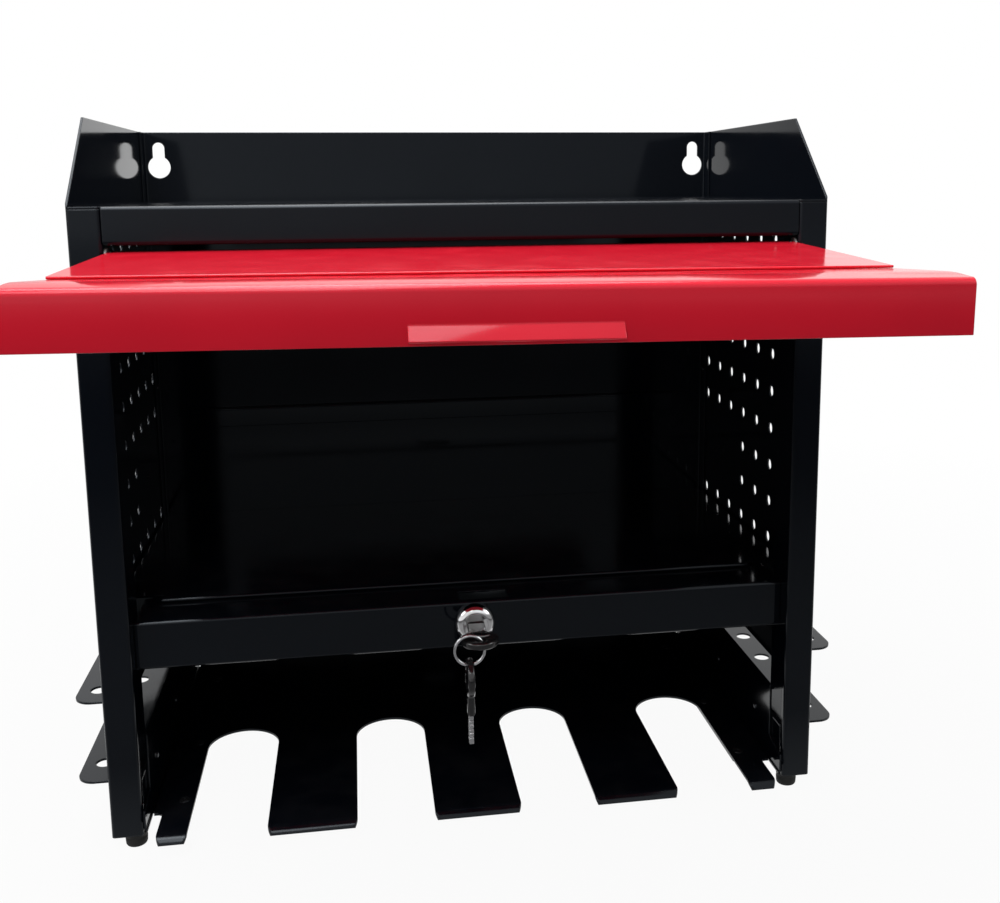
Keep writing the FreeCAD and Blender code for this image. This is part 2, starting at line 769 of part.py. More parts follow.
def door_front_strip():
    """The front of the door: a crowned strip lapped under the flat, a lip and a pull."""
    lap_top = door_top - sheet - coat
    crown = lap_top + strip_crown_rise + (lip_top - lap_top) / 4.0
    path = [
        (door_lap - door_crease, lap_top),
        (-door_crease, lap_top),
        (-strip_crown_s, crown),
        (-door_front, lip_top),
        (-door_front - lip_lean, lip_top - lip_height),
    ]
    strip = folded(path, "YZ", -door_half, 2 * door_half, sheet, [strip_bend, strip_crown_radius, strip_bend])
    cap = [
        (-door_crease - 4, lap_top - sheet / 2),
        (-strip_crown_s, crown - sheet),
        (-door_front + sheet, lip_top - sheet),
        (-door_front - lip_lean + sheet / 2, lip_top - lip_height + bend),
        (-door_front + 3, lip_top - lip_height + bend),
        (-door_crease - 4, lap_top - end_cap_height),
    ]
    caps = [plate(cap, "YZ", start, sheet) for start in (-door_half, door_half - sheet)]
    pull_top = lip_top - pull_root
    pull = [(-door_front + pull_seat, pull_top + pull_seat),
            (-door_front - pull_reach, pull_top - pull_rise)]
    tab = folded(pull, "YZ", -pull_half, 2 * pull_half, sheet, [])
    return hung(strip.fuse(caps + [tab]).removeSplitter())


def hinge_pin():
    """The right-hand door pin, riveted through the return flange."""
    inner = door_half - sheet - coat
    outer = post_inner + sheet + coat
    shank = rod(inner, hinge_y, hinge_z, pin_radius, outer - inner, AXIS_X)
    head = rod(inner - pin_head_height, hinge_y, hinge_z, pin_head_radius, pin_head_height, AXIS_X)
    tail = dome(pin_tail_radius, pin_tail_height, FreeCAD.Vector(outer, hinge_y, hinge_z), AXIS_X)
    return shank.fuse([head, tail]).removeSplitter()


def hinge_washer():
    """The washer between the right-hand ear and the return flange."""
    start = door_half + washer_play
    length = post_inner - washer_play - start
    ring = rod(start, hinge_y, hinge_z, washer_radius, length, AXIS_X)
    return ring.cut(rod(start - 1, hinge_y, hinge_z, pin_radius + hole_gap, length + 2, AXIS_X))


def lock_axis_point(y):
    """A point on the line of the lock."""
    return FreeCAD.Vector(lock_x, y, lock_z)


def lock_housing():
    """The chromed barrel, with a domed bezel on the front of the rail."""
    seat = rail_front - coat
    front = seat - bezel_height
    rim = FreeCAD.Vector(bezel_radius, 0, bezel_rim)
    shoulder_radius = (bezel_radius + bezel_face_radius) / 2.0 + bezel_fullness
    shoulder_height = bezel_rim + (bezel_height - bezel_rim) * 0.7
    shoulder = FreeCAD.Vector(shoulder_radius, 0, shoulder_height)
    face = FreeCAD.Vector(bezel_face_radius, 0, bezel_height)
    base = FreeCAD.Vector(bezel_radius, 0, 0)
    top = FreeCAD.Vector(0, 0, bezel_height)
    edges = [
        Part.LineSegment(ORIGIN, base).toShape(),
        Part.LineSegment(base, rim).toShape(),
        Part.Arc(rim, shoulder, face).toShape(),
        Part.LineSegment(face, top).toShape(),
        Part.LineSegment(top, ORIGIN).toShape(),
    ]
    turned_bezel = Part.Face(Part.Wire(edges)).revolve(ORIGIN, AXIS_Z, 360)
    bezel = stood(turned_bezel, lock_axis_point(seat), AXIS_Y * -1)
    barrel = rod(lock_x, seat, lock_z, lock_body_radius, lock_body_rear - seat, AXIS_Y)
    bore = rod(lock_x, front - 1, lock_z, plug_radius + plug_clearance, lock_body_rear - front + 2, AXIS_Y)
    mouth_radius = plug_collar_radius + plug_clearance
    mouth = rod(lock_x, front - 1, lock_z, mouth_radius, plug_collar_height + coat + 1, AXIS_Y)
    return bezel.fuse(barrel).removeSplitter().cut([bore, mouth])


def lock_nut():
    """The hexagon nut that clamps the barrel to the rail."""
    corner = nut_across_flats / math.sqrt(3.0)
    turns = [math.radians(60 * k) for k in range(6)]
    points = [(lock_x + corner * math.cos(turn), lock_z + corner * math.sin(turn)) for turn in turns]
    start = rail_front + sheet + coat
    nut = plate(points, "XZ", start, nut_height)
    return nut.cut(rod(lock_x, start - 1, lock_z, lock_body_radius + hole_gap, nut_height + 2, AXIS_Y))


def lock_plug():
    """The plug that the key turns, with a flat keyway."""
    front = rail_front - coat - bezel_height
    rear = lock_body_rear + plug_tail
    body = rod(lock_x, front, lock_z, plug_radius, rear - front, AXIS_Y)
    collar = rod(lock_x, front, lock_z, plug_collar_radius, plug_collar_height, AXIS_Y)
    reach = key_blade_length + keyway_clearance - key_shoulder_gap
    side = key_blade_half + keyway_clearance
    rise = key_blade_thickness / 2.0 + keyway_clearance
    keyway = block(lock_x - side, lock_x + side, front - 1, front + reach, lock_z - rise, lock_z + rise)
    screw = rod(lock_x, rear - cam_screw_length - hole_gap, lock_z, cam_screw_radius + hole_gap,
                cam_screw_length + 1, AXIS_Y)
    return body.fuse(collar).removeSplitter().cut([keyway, screw])


def lock_cam():
    """The cranked cam, which points to the right while the lock is open."""
    rear = lock_body_rear + plug_tail + coat + cam_sheet
    path = [(cam_reach, cam_tip_front + cam_sheet), (cam_crank_end, cam_tip_front + cam_sheet),
            (cam_crank_start, rear), (-cam_hub, rear)]
    cam = folded(path[::-1], "XY", lock_z - cam_half, 2 * cam_half, -cam_sheet, [bend, bend])
    cam.translate(AXIS_X * lock_x)
    bore = rod(lock_x, rear - cam_sheet - 1, lock_z, cam_screw_radius + hole_gap, cam_sheet + 2, AXIS_Y)
    return cam.cut(bore)


def cam_screw():
    """The screw that holds the cam to the plug."""
    seat = lock_body_rear + plug_tail + coat + cam_sheet
    shank = rod(lock_x, seat - cam_sheet - cam_screw_length, lock_z, cam_screw_radius,
                cam_sheet + cam_screw_length, AXIS_Y)
    head = dome(cam_screw_head_radius, cam_screw_head_height, lock_axis_point(seat), AXIS_Y)
    return shank.fuse(head).removeSplitter()


def key_tang(clearance):
    """The end of a blade inside its moulded head, or the pocket for it."""
    side = key_tang_half + clearance
    rise = key_blade_thickness / 2.0 + clearance
    return block(-side, side, -key_tang_length - clearance, 0, -rise, rise)


def key_head():
    """A moulded key head drawn flat in X and Y, with its shoulder at the origin."""
    low = -key_head_thickness / 2.0
    disc_y = key_head_radius - key_head_length
    disc = rod(0, disc_y, low, key_head_radius, key_head_thickness, AXIS_Z)
    neck = block(-key_neck_half, key_neck_half, disc_y, 0, low, -low)
    hole = rod(0, key_hole_inset - key_head_length, low - 1, key_hole_radius, key_head_thickness + 2, AXIS_Z)
    return disc.fuse(neck).removeSplitter().cut([hole, key_tang(key_tang_clearance)])


def key_blade():
    """The steel blade of a key, which runs from its head along +Y."""
    tip = key_blade_length - key_blade_tip
    point = key_blade_half / 3.0
    outline = [(-key_blade_half, 0), (key_blade_half, 0), (key_blade_half, tip), (point, key_blade_length),
               (-point, key_blade_length), (-key_blade_half, tip)]
    blade = plate(outline, "XY", -key_blade_thickness / 2.0, key_blade_thickness)
    return blade.fuse(key_tang(0)).removeSplitter()


key_shoulder_y = rail_front - coat - bezel_height - key_shoulder_gap
key_hole_y = key_shoulder_y - key_head_length + key_hole_inset
ring_x = lock_x - ring_offset
ring_z = lock_z - ring_drop
ring_bottom = ring_z - ring_radius


def door_key(piece):
    """A piece of the key that stands in the lock, its head level."""
    placed = piece.copy()
    placed.translate(FreeCAD.Vector(lock_x, key_shoulder_y, lock_z))
    return placed


def key_ring():
    """The wire ring that hangs from the head of the key in the lock."""
    centre = FreeCAD.Vector(ring_x, key_hole_y, ring_z)
    return Part.makeTorus(ring_radius, ring_wire, centre, AXIS_Y)


def spare_key(piece):
    """A piece of the second key, which hangs edge-on from the ring with its blade down."""
    placed = piece.copy()
    placed.rotate(ORIGIN, AXIS_X, -90)
    placed.rotate(ORIGIN, AXIS_Z, 90)
    hole_z = ring_bottom + ring_wire + spare_play - key_hole_radius
    shoulder_z = hole_z - key_head_length + key_hole_inset
    placed.translate(FreeCAD.Vector(ring_x, key_hole_y, shoulder_z))
    return placed


def both_sides(spots):
    """Rivets at the given places and at their mirror images."""
    right = [rivet(*spot) for spot in spots]
    return Part.makeCompound(right + [mirrored(one) for one in right])


def all_nodes():
    """Every piece by name."""
    nodes = {
        "back_panel": back_panel(),
        "rear_stiffener": rear_stiffener(),
        "top_tray": top_tray(),
        "lock_rail": lock_rail(),
        "cabinet_floor": cabinet_floor(),
        "fork_shelf": fork_shelf(),
        "door_panel": door_panel(),
        "door_front_strip": door_front_strip(),
        "fork_rivets": both_sides(fork_rivets()),
        "rack_rivets": both_sides(rack_rivets()),
        "frame_rivets": both_sides(side_rivets() + bracket_rivets()),
        "lock_housing": lock_housing(),
        "lock_nut": lock_nut(),
        "lock_plug": lock_plug(),
        "lock_cam": lock_cam(),
        "cam_screw": cam_screw(),
        "door_key_head": door_key(key_head()),
        "door_key_blade": door_key(key_blade()),
        "key_ring": key_ring(),
        "spare_key_head": spare_key(key_head()),
        "spare_key_blade": spare_key(key_blade()),
    }
    paired = {
        "side_panel": side_panel(),
        "lower_bracket": lower_bracket(),
        "upper_rack": upper_rack(),
        "lower_rack": lower_rack(),
        "hinge_pin": hinge_pin(),
        "hinge_washer": hinge_washer(),
        "front_foot": foot(*foot_places()[0]),
        "rear_foot": foot(*foot_places()[1]),
    }
    for name, shape in paired.items():
        nodes["right_" + name] = shape
        nodes["left_" + name] = mirrored(shape)
    screws = [foot_screw(x, y) for x, y in foot_places()]
    nodes["foot_screws"] = Part.makeCompound(screws + [mirrored(one) for one in screws])
    return nodes


def footprint_middle(nodes):
    """How far the middle of the footprint lies behind the front of the posts."""
    boxes = [shape.optimalBoundingBox(False, False) for shape in nodes.values()]
    return (min(box.YMin for box in boxes) + max(box.YMax for box in boxes)) / 2.0


def main():
    """Build every piece, move it to the origin and write one file for each."""
    os.makedirs("parts", exist_ok=True)
    nodes = all_nodes()
    shift = footprint_middle(nodes)
    print("origin lies %.3f behind the posts and %.3f below them" % (shift, foot_height))
    for name, shape in sorted(nodes.items()):
        placed = shape.copy()
        placed.translate(FreeCAD.Vector(0, -shift, foot_height))
        if not placed.isValid():
            print("not valid:", name)
        solids = placed.Solids
        print("%-22s solids %2d volume %10.1f mm3" % (name, len(solids), placed.Volume))
        placed.exportStep("parts/%s.step" % name)


main()
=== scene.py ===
"""The tool shelf in its studio: finishes, small parts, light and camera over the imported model."""
import json
import logging
import math
from dataclasses import dataclass, field
from enum import Enum
from typing import Callable, Iterable, Optional, Sequence

import bmesh
import bpy
from mathutils import Matrix, Vector


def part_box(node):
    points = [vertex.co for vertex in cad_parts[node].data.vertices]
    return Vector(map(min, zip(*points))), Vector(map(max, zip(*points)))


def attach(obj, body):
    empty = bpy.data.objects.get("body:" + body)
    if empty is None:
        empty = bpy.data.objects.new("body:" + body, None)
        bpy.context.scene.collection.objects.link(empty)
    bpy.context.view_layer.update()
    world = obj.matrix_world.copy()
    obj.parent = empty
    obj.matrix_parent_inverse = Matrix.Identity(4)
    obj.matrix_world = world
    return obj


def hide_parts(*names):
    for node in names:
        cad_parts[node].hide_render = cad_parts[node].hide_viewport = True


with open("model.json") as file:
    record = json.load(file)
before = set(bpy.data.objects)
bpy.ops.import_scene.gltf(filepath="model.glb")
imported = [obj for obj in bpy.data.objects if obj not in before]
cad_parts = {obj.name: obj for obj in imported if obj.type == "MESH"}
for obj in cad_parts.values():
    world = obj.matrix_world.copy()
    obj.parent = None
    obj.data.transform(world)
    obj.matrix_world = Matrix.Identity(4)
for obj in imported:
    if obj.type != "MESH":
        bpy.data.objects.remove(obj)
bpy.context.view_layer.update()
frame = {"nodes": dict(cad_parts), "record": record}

log = logging.getLogger("tool_shelf")
MM = 0.001
TINY = 0.01 * MM
FACING = 0.9
ALONG = 0.99
SIDES = (1.0, -1.0)
POST_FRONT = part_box("right_side_panel")[0].y
POST_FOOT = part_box("right_side_panel")[0].z
Test = Callable[[Vector, Vector], bool]
Socket = bpy.types.NodeSocket
Pairs = tuple[tuple[float, float], ...]
Colour = tuple[float, float, float]
Spot = tuple[float, float, float]


def at(x: float, y: float, z: float) -> Vector:
    """Turn a place on the shop drawing into the frame.

    Args:
        x: Millimetres to the right of the middle.
        y: Millimetres behind the front of the posts.
        z: Millimetres above the lower end of the posts.

    Returns:
        The same place in metres in the frame.
    """
    return Vector((x * MM, POST_FRONT + y * MM, POST_FOOT + z * MM))


def mm(x: float, y: float, z: float) -> Vector:
    """Turn millimetres into a vector in metres."""
    return Vector((x, y, z)) * MM


def extent(points: Sequence[Vector]) -> tuple[Vector, Vector]:
    """Find the lowest and the highest corner of some points."""
    low, high = (Vector([pick(point[k] for point in points) for k in range(3)]) for pick in (min, max))
    return low, high


def upright_to(direction: Vector) -> Matrix:
    """Find the turn that brings the upward direction to another one."""
    return Vector((0.0, 0.0, 1.0)).rotation_difference(direction).to_matrix().to_4x4()


class Axis(Enum):
    """The direction that a turned part faces."""

    RIGHT = (1.0, 0.0, 0.0)
    BACK = (0.0, 1.0, 0.0)
    UP = (0.0, 0.0, 1.0)
    LEFT = (-1.0, 0.0, 0.0)
    FRONT = (0.0, -1.0, 0.0)
    DOWN = (0.0, 0.0, -1.0)

    @property
    def vector(self) -> Vector:
        """The direction as a vector."""
        return Vector(self.value)

    @property
    def turn(self) -> Matrix:
        """The turn that brings the upward direction to this one."""
        return upright_to(self.vector)


class Slot(Enum):
    """The material slots of the record."""

    BLACK = "black_coat"
    RED = "red_coat"
    CHROME = "lock_chrome"
    STEEL = "bright_steel"
    RIVET = "rivet_steel"
    KEY_PLASTIC = "key_plastic"
    WASHER = "washer_plastic"
    RUBBER = "foot_rubber"


class Workpiece:
    """One mesh on the bench, shaped with the edit tools."""

    def __init__(self, thing: bpy.types.Object) -> None:
        """Take up an object.

        Args:
            thing: The object to shape, with its place already in its mesh.
        """
        self.thing = thing

    @staticmethod
    def clear() -> None:
        """Leave edit mode and deselect everything."""
        if bpy.context.object and bpy.context.object.mode != "OBJECT":
            bpy.ops.object.mode_set(mode="OBJECT")
        bpy.ops.object.select_all(action="DESELECT")

    def take(self) -> None:
        """Select the piece alone."""
        self.clear()
        self.thing.select_set(True)
        bpy.context.view_layer.objects.active = self.thing

    @staticmethod
    def settle() -> None:
        """Put the place of the selected piece into its mesh."""
        bpy.ops.object.transform_apply(location=True, rotation=True, scale=True)

    @classmethod
    def taken(cls, name: str) -> "Workpiece":
        """Name the primitive just added and put its place into its mesh.

        Args:
            name: Name of the piece.

        Returns:
            The piece.
        """
        piece = cls(bpy.context.object)
        piece.thing.name = name
        piece.thing.data.name = name
        piece.settle()
        return piece

    @classmethod
    def _twin(cls, thing: bpy.types.Object, name: str) -> "Workpiece":
        """Copy an object together with its mesh.

        Args:
            thing: The object.
            name: Name of the copy.

        Returns:
            The copy.
        """
        twin = thing.copy()
        twin.data = thing.data.copy()
        twin.name = name
        twin.data.name = name
        bpy.context.scene.collection.objects.link(twin)
        return cls(twin)

    @classmethod
    def round_bar(cls, name: str, radius: float, length: float, start: Vector, axis: Axis,
                  sides: int = 48) -> "Workpiece":
        """Start from a round bar.

        Args:
            name: Name of the piece.
            radius: Radius in metres.
            length: Length in metres.
            start: Middle of the end that the bar starts from.
            axis: Direction in which it runs.
            sides: Number of sides.

        Returns:
            The bar.
        """
        cls.clear()
        middle = start + axis.vector * (length / 2.0)
        bpy.ops.mesh.primitive_cylinder_add(vertices=sides, radius=radius, depth=length, location=middle,
                                            rotation=axis.turn.to_euler())
        return cls.taken(name)

    @classmethod
    def block(cls, name: str, one: Vector, two: Vector) -> "Workpiece":
        """Start from a block between two opposite corners.

        Args:
            name: Name of the piece.
            one: One corner.
            two: The corner opposite to it.

        Returns:
            The block.
        """
        cls.clear()
        spans = [abs(span) for span in two - one]
        bpy.ops.mesh.primitive_cube_add(size=1.0, location=(one + two) / 2.0, scale=spans)
        return cls.taken(name)

    @classmethod
    def plate(cls, name: str, corners: Sequence[Vector], by: Optional[Vector] = None) -> "Workpiece":
        """Start from a flat outline and draw it out.

        Args:
            name: Name of the piece.
            corners: The corners of the outline, in order.
            by: How far it is drawn out, if at all.

        Returns:
            The plate.
        """
        cls.clear()
        bpy.ops.mesh.primitive_circle_add(vertices=len(corners), radius=10.0 * MM, fill_type="NGON",
                                          location=corners[0])
        piece = cls.taken(name)
        piece.open()
        bpy.ops.mesh.select_mode(type="VERT")
        for index, corner in enumerate(corners):
            bpy.ops.mesh.select_all(action="DESELECT")
            mesh = bmesh.from_edit_mesh(piece.thing.data)
            mesh.verts.ensure_lookup_table()
            mesh.verts[index].select_set(True)
            move = corner - mesh.verts[index].co
            bmesh.update_edit_mesh(piece.thing.data)
            bpy.ops.transform.translate(value=move)
        if by:
            piece.pick_faces(lambda middle, normal: True)
            piece.extrude(by)
        piece.face_outward()
        piece.clear()
        return piece

    @classmethod
    def from_node(cls, name: str, node: str) -> "Workpiece":
        """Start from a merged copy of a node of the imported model.

        Args:
            name: Name of the piece.
            node: Name of the node, which is left as it is.

        Returns:
            The copy, its flat faces whole again.
        """
        cls.clear()
        piece = cls._twin(frame["nodes"][node], name)
        piece.thing.parent = None
        for key in list(piece.thing.keys()):
            del piece.thing[key]
        piece.pick_all()
        bpy.ops.mesh.remove_doubles(threshold=0.000005)
        bpy.ops.mesh.dissolve_limited(angle_limit=math.radians(0.5))
        piece.clear()
        return piece

    def open(self) -> None:
        """Put the piece alone into edit mode."""
        self.take()
        bpy.ops.object.mode_set(mode="EDIT")

    def pick_all(self) -> None:
        """Select the whole mesh."""
        self.open()
        bpy.ops.mesh.select_all(action="SELECT")

    def face_outward(self) -> None:
        """Point every face outwards."""
        self.pick_all()
        bpy.ops.mesh.normals_make_consistent(inside=False)

    def pick_end(self, axis: Axis) -> None:
        """Select the faces that face one way."""
        self.pick_faces(lambda spot, normal: normal.dot(axis.vector) > FACING)

    def pick_faces(self, test: Test) -> None:
        """Select the faces whose middle and normal pass a test.

        Args:
            test: Tells from a face's middle and normal whether it is meant.
        """
        self.open()
        bpy.ops.mesh.select_mode(type="FACE")
        bpy.ops.mesh.select_all(action="DESELECT")
        mesh = bmesh.from_edit_mesh(self.thing.data)
        for face in mesh.faces:
            face.select_set(test(face.calc_center_median(), face.normal))
        bmesh.update_edit_mesh(self.thing.data)

    def pick_edges(self, test: Test) -> None:
        """Select the edges whose middle and direction pass a test.

        Args:
            test: Tells from an edge's middle and direction whether it is meant.
        """
        self.open()
        bpy.ops.mesh.select_mode(type="EDGE")
        bpy.ops.mesh.select_all(action="DESELECT")
        mesh = bmesh.from_edit_mesh(self.thing.data)
        for edge in mesh.edges:
            one, two = (corner.co for corner in edge.verts)
            edge.select_set(test((one + two) / 2.0, (two - one).normalized()))
        bmesh.update_edit_mesh(self.thing.data)

    def extrude(self, by: Vector) -> None:
        """Extrude what is picked along a vector."""
        bpy.ops.mesh.extrude_region_move(TRANSFORM_OT_translate={"value": by})

    def scale(self, factors: Sequence[float], centre: Vector) -> None:
        """Scale what is picked about a point."""
        bpy.ops.transform.resize(value=factors, center_override=centre)

    def draw_out(self, axis: Axis, steps: Iterable[tuple[float, float]], centre: Vector) -> None:
        """Draw the picked end of a turned part out, step by step.

        Args:
            axis: Direction in which it goes.
            steps: Radius of each step's end, as a share of the picked end's, and its length in metres.
            centre: A point on the axis.
        """
        now = 1.0
        for share, length in steps:
            self.extrude(axis.vector * length)
            self.scale([1.0 if along else share / now for along in axis.value], centre)
            now = share

    def inset(self, by: float, depth: float = 0.0) -> None:
        """Inset the picked faces, and raise or sink them by a depth."""
        bpy.ops.mesh.inset(thickness=by, depth=depth)

    def bevel(self, width: float, segments: int = 3) -> None:
        """Round the picked edges."""
        bpy.ops.mesh.bevel(offset=width, segments=segments, affect="EDGES")

    def modify(self, kind: str, **settings: object) -> None:
        """Add a modifier and apply it.

        Args:
            kind: Blender's name for the kind of modifier.
            **settings: Its settings.
        """
        self.take()
        change = self.thing.modifiers.new(kind.title(), kind)
        for name, value in settings.items():
            setattr(change, name, value)
        bpy.ops.object.modifier_apply(modifier=change.name)

    def round_off(self, width: float, segments: int = 2, angle: float = 35.0) -> None:
        """Break every sharp edge."""
        self.modify("BEVEL", width=width, segments=segments, limit_method="ANGLE",
                    angle_limit=math.radians(angle), harden_normals=False)

    def cut(self, tool: "Workpiece") -> None:
        """Cut another piece out of this one, and throw that one away."""
        self.modify("BOOLEAN", operation="DIFFERENCE", solver="EXACT", object=tool.thing)
        tool.scrap()

    def weld(self, tool: "Workpiece") -> None:
        """Join another piece to this one as one solid, and throw that one away."""
        self.modify("BOOLEAN", operation="UNION", solver="EXACT", object=tool.thing)
        tool.scrap()

    def gather(self, others: Sequence["Workpiece"]) -> None:
        """Take other pieces into this one as loose parts.

        Args:
            others: The other pieces, which are gone afterwards.
        """
        self.take()
        for other in others:
            other.thing.select_set(True)
        bpy.ops.object.join()

    def scrap(self) -> None:
        """Throw the piece away."""
        bpy.data.objects.remove(self.thing, do_unlink=True)

    def copy(self, name: str, move: Matrix) -> "Workpiece":
        """Copy the piece with its own mesh.

        Args:
            name: Name of the copy.
            move: Where the copy goes, seen from where the piece is.

        Returns:
            The copy, its place in its mesh.
        """
        self.clear()
        twin = self._twin(self.thing, name)
        twin.thing.matrix_world = move
        twin.take()
        twin.settle()
        return twin

    def close(self, angle: float = 35.0) -> None:
        """Merge doubles, point every face outwards and smooth the shading.

        Args:
            angle: Edges sharper than this, in degrees, stay sharp.
        """
        self.pick_all()
        bpy.ops.mesh.remove_doubles(threshold=0.000002)
        bpy.ops.mesh.normals_make_consistent(inside=False)
        self.take()
        bpy.ops.object.shade_smooth_by_angle(angle=math.radians(angle))
        self.clear()

    def hand_over(self, body: str, finishes: "Finishes", slot: Slot, *nodes: str) -> None:
        """Dress the finished piece and give it to a body.

        Args:
            body: The body that it rides on.
            finishes: The materials.
            slot: The record's slot for its material.
            *nodes: CAD nodes that it stands for.
        """
        self.close()
        self.thing.data.materials.clear()
        self.thing.data.materials.append(finishes[slot])
        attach(self.thing, body)
        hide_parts(*nodes)
        log.info("%s: %d faces on %s", self.thing.name, len(self.thing.data.polygons), body)


class Wiring:
    """Nodes and links of one material, world or node group."""

    def __init__(self, tree: bpy.types.NodeTree) -> None:
        """Take up a node tree.

        Args:
            tree: The tree to work in.
        """
        self.tree = tree
        self.count = 0

    def add(self, kind: str, **settings: object) -> bpy.types.Node:
        """Add a node.

        Args:
            kind: Name of the node type.
            **settings: Its settings.

        Returns:
            The node.
        """
        node = self.tree.nodes.new(kind)
        node.location = (self.count * 190 - 1800, (self.count % 3) * -220)
        self.count += 1
        for name, value in settings.items():
            setattr(node, name, value)
        return node

    def link(self, source: Socket, target: Socket) -> None:
        """Link one socket to another."""
        self.tree.links.new(source, target)

    def put(self, value: object, target: Socket) -> None:
        """Link a socket to another, or set a number or a colour on it.

        Args:
            value: The socket, number or colour.
            target: The socket that gets it.
        """
        if isinstance(value, Socket):
            self.link(value, target)
        else:
            target.default_value = value

    def math(self, operation: str, one: object, two: object = 0.0, clamp: bool = False) -> Socket:
        """Work out a value.

        Args:
            operation: Name of the operation.
            one: First socket or number.
            two: Second socket or number.
            clamp: Whether the result stays between 0 and 1.

        Returns:
            The socket with the result.
        """
        node = self.add("ShaderNodeMath", operation=operation, use_clamp=clamp)
        for place, value in zip(node.inputs, (one, two)):
            self.put(value, place)
        return node.outputs[0]

    def times(self, one: object, two: object) -> Socket:
        """Multiply two values."""
        return self.math("MULTIPLY", one, two)

    def plus(self, one: object, two: object, clamp: bool = False) -> Socket:
        """Add two values."""
        return self.math("ADD", one, two, clamp)

    def greater(self, one: object, two: object) -> Socket:
        """Take the greater of two values."""
        return self.math("MAXIMUM", one, two)

    def places(self, kind: str = "Object") -> Socket:
        """Coordinates of one kind."""
        return self.add("ShaderNodeTexCoord").outputs[kind]

    def apart(self, vector: Socket) -> dict[str, Socket]:
        """Take a vector apart into X, Y and Z.

        Args:
            vector: The socket with the vector.

        Returns:
            The sockets with its parts, by letter.
        """
        node = self.add("ShaderNodeSeparateXYZ")
        self.link(vector, node.inputs[0])
        return {label: node.outputs[label] for label in "XYZ"}

    def mixed(self, share: Socket, one: Socket, two: Socket,
              target: Socket) -> None:
        """Mix two shaders by a share and send the result to an output.

        Args:
            share: How much of the second shows, between 0 and 1.
            one: First shader.
            two: Second shader.
            target: The output's socket.
        """
        mix = self.add("ShaderNodeMixShader")
        for source, place in zip((share, one, two), mix.inputs):
            self.link(source, place)
        self.link(mix.outputs[0], target)

    def blend(self, amount: Socket, one: object, two: object) -> Socket:
        """Blend two colours by an amount between 0 and 1.

        Args:
            amount: How much of the second shows.
            one: First socket or colour.
            two: Second socket or colour.

        Returns:
            The socket with the result.
        """
        node = self.add("ShaderNodeMix", data_type="RGBA")
        self.link(amount, node.inputs["Factor"])
        for place, value in ((node.inputs[6], one), (node.inputs[7], two)):
            self.put(value if isinstance(value, Socket) else (*value, 1.0), place)
        return node.outputs[2]

    def range(self, value: Socket, low: float, high: float, first: float = 0.0,
              last: float = 1.0) -> Socket:
        """Stretch a value from one range to another, clamped.

        Args:
            value: The socket with the value.
            low: Where the range starts.
            high: Where the range ends.
            first: What the start becomes.
            last: What the end becomes.

        Returns:
            The socket with the result.
        """
        node = self.add("ShaderNodeMapRange", clamp=True)
        self.link(value, node.inputs["Value"])
        for name, number in (("From Min", low), ("From Max", high), ("To Min", first), ("To Max", last)):
            node.inputs[name].default_value = number
        return node.outputs["Result"]

    def noise(self, places: Socket, scale: object, detail: float = 2.0,
              stretch: Optional[Sequence[float]] = None) -> Socket:
        """Noise over places on the piece.

        Args:
            places: Where, as a vector socket.
            scale: Cells to the metre, as a number or a socket.
            detail: Number of finer layers.
            stretch: How much each direction is drawn out, if at all.

        Returns:
            The socket with the noise.
        """
        if stretch:
            turn = self.add("ShaderNodeMapping")
            turn.inputs["Scale"].default_value = stretch
            self.link(places, turn.inputs["Vector"])
            places = turn.outputs["Vector"]
        node = self.add("ShaderNodeTexNoise")
        node.inputs["Detail"].default_value = detail
        self.link(places, node.inputs["Vector"])
        self.put(scale, node.inputs["Scale"])
        return node.outputs["Fac"]


